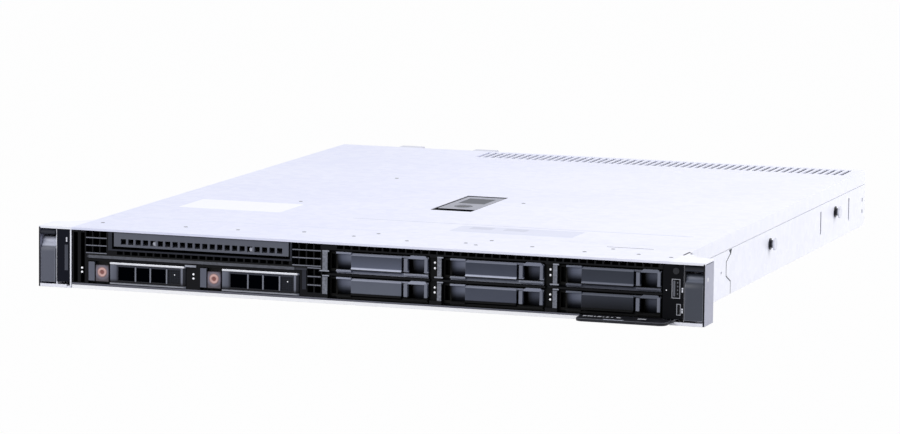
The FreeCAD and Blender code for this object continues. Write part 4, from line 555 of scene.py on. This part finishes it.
# Below it runs the pan's own hemmed front edge, painted brighter than the pan as painted light.
hem_zinc = zinc_steel("pan_hem_zinc_painted_light", "#FFFFFF", "#F7F8FC", 0.5, 4.0, 0.2)
prism("pan_hem", "y", 1.0, 1.45, ((-216.4, 0.1), (216.6, 0.1), (216.6, 1.25), (153.8, 1.25),
                                  (153.8, 2.45), (-216.4, 2.45)), hem_zinc, "chassis", 0.15)
for side, start, end in (("left", -239.9, -220.2), ("right", 220.2, 239.9)):
    prism(f"{side}_ear_hem", "y", -0.25, -0.02, oblong(start, end, 0.1, 2.15), pan_zinc,
          "chassis", 0.08)


# ---------------------------------------------------------------- Status lamps
# Pairs of pale light pipes beside the bays, each a clear rod whose rounded
# end shows through the dark frame.
lamp_clear = even_finish("clear_light_pipe", "#F4F6FA", Roughness=0.25,
                         Emission_Color=linear("#FFFFFF"), Emission_Strength=0.35)
lamp_tree, given = tree_of("lamp_ends", "Radius")
dome = add(lamp_tree, "GeometryNodeMeshUVSphere", {"Radius": given["Radius"], "Segments": 14, "Rings": 9})
close_stand(lamp_tree, given["Geometry"], dome, lamp_clear)
lamp_places = [(x, 4.0, z) for x in (50.0, 132.2) for z in (32.25, 28.4, 15.2, 11.8)]
lamp_places += [(x, 1.2, z) for x in (-125.25, -208.75) for z in (14.6, 11.7)]
grown("bay_lamps", lamp_tree, spots([at(*p) for p in lamp_places]), {"Radius": 0.75 * mm},
      "chassis")
grown("bay_edge_lamps", lamp_tree, spots([at(214.2, 0.9, 23.3)]), {"Radius": 0.4 * mm},
      "chassis")


# ---------------------------------------------------------------- Optical blank
# A charcoal moulded filler with a row of square holes, satin and paler than
# the frame round it, with its edges painted brighter still as painted highlight.
filler_abs = moulded("charcoal_filler_abs", "#555862", "#62656F", 0.5, 0.8)
filler_edge_highlight = moulded("charcoal_filler_edge_painted_highlight", "#7A7D87", "#8C8F99", 0.4, 0.8)
softened("optical_blank", "optical", 0.25, filler_abs, filler_edge_highlight)
# Two pale locating pegs show behind the fifth and the eighteenth hole.
peg_nylon = two_tone("natural_peg_nylon", "#C9CCD6", "#B3B6C2", 0.45, 2.0)
first_hole, hole_pitch = -179.75, 5.52
for number, hole in enumerate((4, 17), 1):
    peg_x = first_hole + hole * hole_pitch
    prism(f"optical_peg_{number}", "y", 3.2, 5.0, rounded(peg_x + 1.2, peg_x + 3.9, 32.6, 35.4, 1.1),
          peg_nylon, "optical", 0.2)


# ---------------------------------------------------------------- Drive blanks
# Black ABS fillers with a grip block, a latch bar and a finger hollow. The
# proud blocks are painted lighter as painted light; the corners behind them are painted black as painted
# shade.
def blank_finish(name, tints, low, upper):
    """Blank plastic tinted by height as painted light and shade (grip face, brow and, on the upper row, lip
    and foot), and painted darker with depth as painted shade.
    """
    face_low, face_high, brow = tints[:3]
    black = "#060709"
    below = ((-0.6, black), (4.6, black), (5.1, face_low))
    if upper:
        lip, foot = tints[3:]
        below = ((-0.6, black), (0.5, foot), (3.1, foot), (3.2, black),
                 (3.8, black), (4.1, lip), (4.9, lip), (5.4, face_low))
    made = moulded(name, "#E4E6EC", "#FFFFFF", 0.44, 0.7, 0.25, 0.1)
    painted_light_and_wear_along(made, "Z", [(low + up, tint) for up, tint in
                           below + ((13.2, face_high), (13.8, brow), (15.5, brow), (16.0, face_high))])
    return painted_light_and_wear_along(made, "Y", ((0.5, "#FFFFFF"), (3.1, "#E8E8EA"), (3.7, "#707075"), (4.7, "#08080A")))


# The faces of the upper and the lower blank in each column, then their edges: columns further right are
# painted darker as painted light falloff, and the edges are painted paler as painted highlight.
blank_tints = (
    (("#6C717F", "#525661", "#9498A4", "#D2D6E2", "#8F939F"), ("#70757F", "#6C707A", "#AEB2BE")),
    (("#545864", "#484C57", "#8C909C", "#CACEDA", "#82868F"), ("#585C68", "#545863", "#979BA7")),
    (("#434750", "#3D4149", "#7A7E88", "#7E828C", "#5C5F68"), ("#1B1D22", "#3B3E46", "#6C7079")))
edge_highlight_tints = (("#8A8E9A", "#8A8E9A", "#B9BDC9", "#E2E5EE", "#F0F2F8"),
              ("#7E828D", "#7E828D", "#ABAFBB", "#D8DBE5", "#D6D9E2"),
              ("#5C6069", "#5C6069", "#8B8F99", "#92969F", "#93969F"))
# Downward-facing slants under the lips are painted near black as painted shade; the hollows' backs curve away
# under the lip, with their corners painted black as painted shade.
hollow_abs = moulded("shaded_finger_hollow_abs", "#0A0B0E", "#101115", 0.5, 0.7, 0.25, 0.05)
# Latch bars and arch legs, painted pale along their fronts as painted light.
bar_abs = moulded("latch_bar_abs_painted_light", "#666974", "#8C909B", 0.46, 0.7, 0.6, 0.15)
first_blank, column_pitch, lower_row, upper_row = -26.2, 82.2, 3.4, 20.8
for number in range(1, 7):
    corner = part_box(f"drive_blank_{number}")[0]
    left = corner.x / mm
    upper = corner.z > 15 * mm
    low = upper_row if upper else lower_row
    column = round((left - first_blank) / column_pitch)
    body = f"blank_{number}"
    softened(f"drive_blank_{number}", body, 0.25,
             blank_finish(f"satin_black_blank_abs_{number}", blank_tints[column][0 if upper else 1],
                          low, upper),
             blank_finish(f"blank_edge_abs_painted_highlight_{number}", edge_highlight_tints[column], low, upper), hollow_abs)
    # Panels at the backs of the finger hollows, painted light at the top and dark towards the bottom and the
    # left as painted light and shade.
    for part, start, end, tint in (("grip", left + 6.0, left + 16.5, "#7E828E"),
                                   ("arch", left + 61.0, left + 69.4, "#555862")):
        scooped = moulded(f"{part}_hollow_abs_{number}", "#E4E6EC", "#FFFFFF", 0.5, 0.7, 0.25, 0.08)
        painted_light_and_wear_along(scooped, "Z", ((low + 3.0, "#060709"), (low + 6.0, "#24262C"), (low + 10.5, tint),
                                  (low + 14.5, tint)))
        painted_light_and_wear_along(scooped, "X", ((start, "#101114"), (start + 0.4 * (end - start), "#D0D2D8"),
                                  (end, "#FFFFFF")))
        prism(f"blank_{part}_hollow_{number}", "x", start, end,
              ((1.9, low + 14.1), (2.2, low + 11.5), (2.9, low + 8.5), (3.9, low + 5.8), (5.2, low + 3.2),
               (5.5, low + 3.2), (5.5, low + 14.1)), scooped, body)
    for part, start, end, face, top in (("bar", left + 55.1, left + 57.5, 0.5, 13.3),
                                        ("arch", left + 69.7, left + 71.7, 1.0, 14.2)):
        prism(f"blank_{part}_lit_front_{number}", "y", face - 0.2, face + 0.1,
              oblong(start, end, low + 4.6, low + top), bar_abs, body, 0.08)


# ---------------------------------------------------------------- Drive carriers
# Moulded sleds, painted grey at the front as painted light and black in their depth as painted shade, with a
# pewter-painted bar above and below, a swing handle with four smoked windows
# and a soft brick ring on the release.
carrier_abs = painted_light_and_wear_along(moulded("charcoal_carrier_abs", "#E4E6EC", "#FFFFFF", 0.5, 0.8), "Y",
                         ((1.0, "#666974"), (2.4, "#33353C"), (5.0, "#0B0C10"), (7.0, "#08090C")))
# The sleds' eased edges and the handles' ribs are painted paler as painted highlight.
carrier_edge_highlight = moulded("carrier_edge_abs_painted_highlight", "#5C5F69", "#6C6F79", 0.4, 0.8)
handle_rib_highlight = moulded("handle_rib_abs_painted_highlight", "#7C7F88", "#8C8F98", 0.4, 0.8, 0.2, 0.15)
# Smoked polycarbonate: black and barely shiny, so the frame round it reads first.
window_dark = moulded("smoked_window_polycarbonate", "#010204", "#020307", 0.5, 1.4, 0.1, 0.0)
# Painted zinc casting: fine bright flake in a pale grey lacquer.
trim_paint, tree, shader = new_finish("pewter_painted_die_cast")
trim_place = add(tree, "ShaderNodeTexCoord").outputs["Object"]
trim_flake = add(tree, "ShaderNodeTexNoise", {"Vector": trim_place, "Scale": 1400.0, "Detail": 2.0})
colour_between(tree, shader, trim_flake.outputs[0], "#D6D8E0", "#F0F1F5")
shader.inputs["Metallic"].default_value = 0.3
shader.inputs["Roughness"].default_value = 0.34
# The lower bar's lacquer is darker and duller than the upper bar's.
foot_paint = two_tone("darker_foot_paint", "#9A9CA4", "#7B7D85", 0.45, 1.5)
# The lamp window's film: rows of small round cells, too fine to count, drawn at 1.3 mm.
cell_film, tree, shader = new_finish("cell_printed_film")
cell_place = add(tree, "ShaderNodeTexCoord").outputs["Object"]
cells = add(tree, "ShaderNodeTexVoronoi", {"Vector": cell_place, "Scale": 1000 / 1.3, "Randomness": 0.15})
cell_edge = add(tree, "ShaderNodeMapRange", {0: cells.outputs["Distance"], 1: 0.35, 2: 0.55})
colour_between(tree, shader, cell_edge.outputs[0], "#030408", "#1A1E28")
shader.inputs["Roughness"].default_value = 0.4
shader.inputs["Specular IOR Level"].default_value = 0.15


def release_ring(name, across, up):
    """Satin taupe plastic with a fired-brick ring and a darker core about one point."""
    made, tree, shader = new_finish(name)
    place = add(tree, "ShaderNodeTexCoord").outputs["Object"]
    centred = add(tree, "ShaderNodeMapping", {"Vector": place, "Location": (-across * mm, 0, -up * mm)})
    flat = add(tree, "ShaderNodeVectorMath", {0: centred.outputs[0], 1: (1, 0, 1)}, operation="MULTIPLY")
    reach = add(tree, "ShaderNodeVectorMath", {0: flat.outputs[0]}, operation="LENGTH")
    share = add(tree, "ShaderNodeMapRange", {0: reach.outputs["Value"], 2: 6 * mm})
    rings = ramp_of(tree, share.outputs[0], (
        (0.0, "#86514C"), (0.15, "#7C4641"), (0.23, "#8E5B54"), (0.31, "#D2A8A0"), (0.45, "#DDB8B0"),
        (0.54, "#A07772"), (0.61, "#7A7077"), (0.8, "#696370"), (1.0, "#453F47")))
    wire(tree, rings, shader, "Base Color")
    shader.inputs["Roughness"].default_value = 0.42
    shader.inputs["IOR"].default_value = 1.53
    return made


carrier_left, carrier_step, carrier_width = -203.75, 83.6, 72.95
window_start, window_rib, reveal = 22.45, 1.1, 0.05
for number in (1, 2):
    left = carrier_left + (number - 1) * carrier_step
    right = left + carrier_width
    sled, handle = f"carrier_{number}", f"handle_{number}"
    dress(f"drive_{number}", cover_zinc_painted_light)
    softened(f"drive_carrier_{number}", sled, 0.2, carrier_abs, carrier_edge_highlight)
    # The handle is tinted pewter grey at its grip tab and right-hand strip, near black round the windows, and
    # darker towards its foot.
    handle_abs = moulded(f"pewter_grey_handle_abs_{number}", "#E6E7EC", "#FFFFFF", 0.42, 0.8, 0.25, 0.15)
    painted_light_and_wear_along(handle_abs, "X", ((left + 16.3, "#7C808A"), (left + 20.5, "#6A6D77"), (left + 22, "#373941"),
                                 (right - 3.9, "#373941"), (right - 3.3, "#8B8E98"),
                                 (right - 2.5, "#8B8E98"), (right - 2.0, "#26282E")))
    painted_light_and_wear_along(handle_abs, "Z", ((6.4, "#5A5A5C"), (8.5, "#E8E8EA"), (17.0, "#FFFFFF")))
    softened(f"carrier_handle_{number}", handle, 0.15, handle_abs, handle_abs)
    dress(f"carrier_button_{number}",
          release_ring(f"brick_release_ring_{number}", left + 10.35, 12.5))
    # The bright bars over and under the handle are cut back at their right-hand ends.
    for place, low, high, paint in (("top", 18.4, 19.72, trim_paint), ("foot", 4.5, 5.4, foot_paint)):
        prism(f"carrier_trim_{place}_{number}", "z", low, high,
              ((left + 16.3, 0.3), (right - 1.6, 0.3), (right - 0.1, 1.9), (right - 0.1, 4.5),
               (left + 16.3, 4.5)), paint, sled, 0.2)
    # Smoked inserts sit in the four windows, with ribs between them painted bright as painted highlight.
    edge = left + window_start
    for window, width in enumerate((12.5, 10.0, 11.1, 9.4), 1):
        far = edge + width + reveal
        prism(f"carrier_window_{number}_{window}", "y", 1.2, 2.6, oblong(edge - reveal, far, 7.15, 16.85),
              window_dark if window < 4 else cell_film, handle, 0.1)
        if window < 4:
            prism(f"carrier_rib_{number}_{window}", "y", 0.2, 1.0, oblong(far, far + 1.0, 7.0, 17.1),
                  handle_rib_highlight, handle, 0.15)
        edge += width + window_rib
    grown(f"carrier_lamp_{number}", lamp_tree, spots([at(left + 64.4, 1.25, 13.4)]),
          {"Radius": 0.42 * mm}, handle)


# ---------------------------------------------------------------- Ears and slam latches
# The ears are folded from the same zinc steel as the pan. Each carries a
# moulded latch that rolls over a steel pin, under a dark moulded cap. Their
# outer walls are painted a duller grey as painted shade, and the partition by the sockets is black.
ear_zinc = zinc_steel("zinc_coated_ear_steel", "#F6F7FD", "#EAEBF5", 0.45, 4.0, 0.15)
painted_light_and_wear_along(ear_zinc, "X", ((-232, "#AEAFBA"), (-231, "#FFFFFF"), (225.2, "#FFFFFF"), (225.7, "#17181D"),
                           (226.9, "#17181D"), (227.4, "#FFFFFF"), (231, "#FFFFFF"), (232, "#AEAFBA")))
dress("left_ear", ear_zinc)
dress("right_ear", ear_zinc)


def latch_abs(name, face, band, low, high):
    """Satin latch plastic, painted pale round its barrel between two heights as painted highlight."""
    return painted_light_and_wear_along(moulded(name, "#E6E7EC", "#FFFFFF", 0.42, 0.8, 0.2, 0.3), "Z",
                      ((low - 1.0, face), (low, band), (high, band), (high + 1.5, face)))


# Latch edges painted paler than the faces as painted highlight, and glossier.
latch_edge_highlight = moulded("latch_edge_abs_painted_highlight", "#878A94", "#979AA4", 0.38, 0.8)
# The left latch and its band are painted lighter as painted light, the right one darker as painted shade.
softened("left_slam_latch", "left_latch", 0.3,
         latch_abs("slate_latch_abs", "#5F626D", "#C6C9D5", 29.2, 34.5), latch_edge_highlight)
softened("right_slam_latch", "right_latch", 0.3,
         latch_abs("latch_abs_painted_shade_copy", "#444851", "#767B86", 29.8, 32.2), latch_edge_highlight)
# Dark moulded hoods close the ears over both barrels, just clear of their
# swing, the right one painted darker towards its top as painted shade; black edging covers the cut steel at
# the outer walls.
hood_dark = moulded("dark_hood_abs", "#20222B", "#272A33", 0.42, 0.8, 0.2, 0.1)
hood_slate = painted_light_and_wear_along(moulded("slate_hood_abs_painted_shade", "#E6E7EC", "#FFFFFF", 0.42, 0.8, 0.2, 0.1), "Z",
                        ((34.9, "#585C67"), (36.5, "#454952"), (38.5, "#23252B"), (41.1, "#101116")))
edging = moulded("black_edging_vinyl", "#0E0F13", "#17181D", 0.5, 1.0, 0.1, 0.15)
hood = ((0.3, 37.0), (1.4, 37.3), (2.6, 37.9), (4.6, 39.0), (7.6, 39.5), (18.5, 39.5), (18.5, 41.1),
        (3.2, 41.1), (1.3, 40.3), (0.5, 39.2), (0.15, 37.8))
for side, start, end, paint in (("left", -239.85, -228.95, hood_dark),
                                ("right", 227.2, 239.85, hood_slate)):
    prism(f"{side}_ear_hood", "x", start, end, hood, paint, "chassis", 0.1)
for side, wall in (("left", -240.95), ("right", 239.95)):
    prism(f"{side}_ear_edging", "y", -0.25, 0.0, oblong(wall, wall + 1.0, 0.1, 42.0), edging,
          "chassis")


# ---------------------------------------------------------------- Control panels
# Black polycarbonate strips on both ears: a light bar on the left, the power
# button and two service sockets on the right.
# Glossy deep black on the left, with a dim grey light guide set in it.
panel_black = moulded("gloss_black_polycarbonate", "#080B16", "#0D101C", 0.4, 2.0, 0.08, 0.08)
lens_grey = moulded("smoked_light_bar_acrylic", "#3E414B", "#4A4D58", 0.3, 1.5, 0.08)
dress("left_control_panel", panel_black)
dress("status_light_bar", lens_grey)
# Matt black on the right, so its button and sockets read as shapes.
panel_matt = moulded("matt_black_polycarbonate", "#05060A", "#0A0B10", 0.5, 2.0, 0.08, 0.06)
dress("right_control_panel", panel_matt)
dress("power_button", moulded("satin_black_button_abs", "#15161B", "#212329", 0.4, 1.0, 0.1))
# Tinned socket shells, shaded by the panel round them.
socket_steel = zinc_steel("shaded_socket_steel", "#A2A4AC", "#83858D", 0.4, 1.5, 0.6)
dress("front_ports", socket_steel)
# The upper socket's depth is closed by a black sheet as painted shade that leaves a grey tongue
# and four contact tips in sight; the small socket is closed the same way.
socket_black = moulded("socket_black_nylon_and_painted_shade", "#08090C", "#0D0E12", 0.5, 1.0, 0.1, 0.1)
tongue_grey = moulded("grey_tongue_nylon", "#5E6066", "#6C6E74", 0.45, 1.0, 0.1)
prism("socket_filler", "y", 1.2, 3.0, oblong(218.45, 223.25, 18.65, 30.65), socket_black, "chassis")
prism("socket_tongue", "y", 0.7, 1.4, oblong(218.9, 220.3, 19.4, 30.0), tongue_grey, "chassis", 0.2)
for number, up in enumerate((21.2, 23.7, 26.2, 28.7), 1):
    prism(f"socket_contact_{number}", "y", 0.9, 1.3, oblong(221.5, 222.3, up - 0.5, up + 0.5),
          tongue_grey, "chassis", 0.1)
prism("small_socket_filler", "y", 1.2, 2.4, oblong(221.9, 223.8, 7.4, 13.9), socket_black, "chassis")
# Screen-printed ink: plain pale marks, a dot over a short bar.
mark_ink = two_tone("pale_screen_print", "#DDE0E8", "#F4F5F8", 0.5, 0.4)
for name, across, up in (("lamp_mark", -220.3, 33.9), ("socket_mark_upper", 225.35, 24.0),
                         ("socket_mark_lower", 225.35, 10.0)):
    prism(f"{name}_bar", "y", 0.62, 0.85,
          oblong(across - 0.45, across + 0.45, up - 1.6, up + 0.1), mark_ink, "chassis")
    prism(f"{name}_dot", "y", 0.62, 0.85,
          rounded(across - 0.6, across + 0.6, up + 0.35, up + 1.55, 0.599), mark_ink,
          "chassis")


# ---------------------------------------------------------------- Information tag
# A black polypropylene slide with rounded corners and edges painted grey as painted highlight; its
# printed patches are plain pale bars.
tag_black = moulded("black_polypropylene", "#16171C", "#202126", 0.4, 1.0, 0.2, 0.2)
tag_edge_highlight = moulded("polypropylene_edge_painted_highlight", "#4C4E56", "#5C5E66", 0.4, 1.0)
softened("information_tag", "tag", 0.3, tag_black, tag_edge_highlight)
for number, (start, end) in enumerate(((158.2, 160.6), (161.4, 165.2), (166.0, 167.2), (168.4, 171.0),
                                       (172.2, 173.0), (174.6, 176.2), (178.0, 179.2), (181.6, 184.4),
                                       (196.4, 202.2)), 1):
    prism(f"tag_print_{number}", "z", 3.65, 3.74, oblong(start, end, -6.6, -4.0), mark_ink, "tag")
prism("tag_front_bar", "z", 3.65, 3.74, oblong(175.5, 189.5, -16.6, -15.2), grey_film, "tag")


# ---------------------------------------------------------------- Cover latch
# A black moulded tray let into the cover holds a grey lever and the
# quarter-turn lock; the slot at its front is painted dark as painted shadow, and the well at its back stays
# dark.
tray_black = moulded("black_latch_tray_nylon", "#0C0D11", "#15161B", 0.5, 0.9, 0.2, 0.15)
lever_grey = moulded("grey_latch_lever_nylon", "#8E909D", "#9B9DA9", 0.4, 0.9)
# The lever's eased edges are painted paler as painted highlight.
lever_edge_highlight = moulded("latch_lever_edge_painted_highlight", "#B9BBC6", "#C5C7D1", 0.4, 0.9)
dress("cover_latch_base", tray_black)
softened("cover_latch_lever", "cover_lever", 0.25, lever_grey, lever_edge_highlight)
# The lock is blackened steel, greyer than the tray under it.
lock_steel = zinc_steel("blackened_lock_steel", "#4C4F59", "#33353D", 0.45, 1.2, 0.5)
dress("cover_lock_screw", lock_steel)
# The lever's nose is painted black as the painted shadow of the slot in front of it, and a dark ring is
# moulded round the lock.
nose_painted_shadow = moulded("lever_nose_painted_shadow", "#050609", "#0A0B0F", 0.6, 0.9, 0.2, 0.05)
prism("cover_lever_nose", "y", 204.6, 205.02, oblong(-17.0, 12.0, lid - 1.9, lid - 0.35), nose_painted_shadow,
      "cover_lever")
lock_x, lock_depth, ring_radius = -2.5, 221.7, 6.4
turns = [math.radians(15 * step) for step in range(25)]
ring_points = [at(lock_x + ring_radius * math.cos(turn), lock_depth + ring_radius * math.sin(turn), lid - 0.5)
               for turn in turns]
grown("cover_lock_ring", bar_tree("lock_ring_bars", lock_steel),
      segments(zip(ring_points, ring_points[1:])), {"Half height": 0.45 * mm}, "cover_lever")
# A darker textured pad fills the thumb recess at the lever's back.
pad_grey = moulded("textured_lever_pad", "#3E4149", "#555862", 0.5, 1.2, 0.5, 0.2)
prism("cover_lever_pad", "z", lid - 0.62, lid - 0.4, rounded(-12.6, 7.6, 238.5, 267.5, 0.8), pad_grey,
      "cover_lever")


# ---------------------------------------------------------------- Inside
# Fans, boards, memory and heat sinks, seen only through the vents and when
# the cover slides back.
# Solder mask shines, the fans' filled plastic doesn't, and the fins are bare metal.
board_green = moulded("green_solder_mask", "#1C4A36", "#245741", 0.35, 3.0, 0.1, 0.4)
fan_black = moulded("glass_filled_fan_pbt", "#141519", "#1D1E23", 0.5, 0.8, 0.2, 0.2)
fin_aluminium = zinc_steel("extruded_fin_aluminium", "#D2D3D7", "#C0C1C6", 0.35, 1.5, 1.0)
for name in ("drive_backplane", "motherboard", "memory_modules"):
    dress(name, board_green)
for name in ("fan_frames", "air_shroud"):
    dress(name, fan_black)
for number in range(1, 7):
    dress(f"fan_rotor_{number}", fan_black)
dress("heat_sinks", fin_aluminium)


# ---------------------------------------------------------------- Rear panel
# Pierced slot covers, plated sockets and the identification button.
dress("slot_covers", pan_zinc)
# Plated shells, bright at the mouth and painted dark inside as painted shade, with gold contacts and black
# inserts.
shell_steel = zinc_steel("plated_socket_shell", "#D8D9DE", "#BFC0C6", 0.35, 1.2, 0.6)
dress("rear_ports", painted_light_and_wear_along(shell_steel, "Y", ((552.5, "#101115"), (555.1, "#F4F4F6"))))
contact_gold = two_tone("gold_plated_contact", "#C9A455", "#A9853F", 0.35, 0.5)
pin_tree, given = tree_of("contact_pins", "Length")
pin_size = add(pin_tree, "ShaderNodeCombineXYZ", {0: 0.5 * mm, 1: given["Length"], 2: 0.3 * mm})
pin = add(pin_tree, "GeometryNodeMeshCube", {"Size": pin_size.outputs[0]})
close_stand(pin_tree, given["Geometry"], pin, contact_gold)
first_pin, port_pitch, pin_pitch = -68.65, 19, 1.27
grown("network_contacts", pin_tree,
      spots([at(first_pin + port_pitch * port + pin_pitch * pin_number, 550.5, 17.2)
             for port in range(4) for pin_number in range(8)]), {"Length": 6 * mm}, "chassis")
for number, left in enumerate((56, 100), 1):
    prism(f"rear_insert_{number}", "y", 553.0, 554.2, rounded(left + 2, left + 29, 7.6, 17.4, 1.5),
          socket_black, "chassis", 0.2)
# The identification button is milky and glossy, so it reads as a lamp.
dress("rear_id_button", moulded("translucent_button_polycarbonate", "#B9BEC9", "#C8CCD6", 0.3, 1.5, 0.1))


# ---------------------------------------------------------------- Power supplies
# Grey zinc boxes with a fan, an inlet, a pale pull handle and a terracotta
# release.
supply_zinc = zinc_steel("zinc_coated_supply_steel", "#C9CAD2", "#B9BAC3", 0.45, 4.0)
handle_pale = moulded("pale_grey_handle_nylon", "#CDCFDB", "#DADCE6", 0.45, 0.9)
release_terracotta = moulded("terracotta_release_nylon", "#9A4F3C", "#A75A45", 0.42, 0.9)
for number in (1, 2):
    dress(f"power_supply_{number}", supply_zinc)
    dress(f"supply_handle_{number}", handle_pale)
    dress(f"supply_latch_{number}", release_terracotta)
    dress(f"supply_fan_rotor_{number}", fan_black)
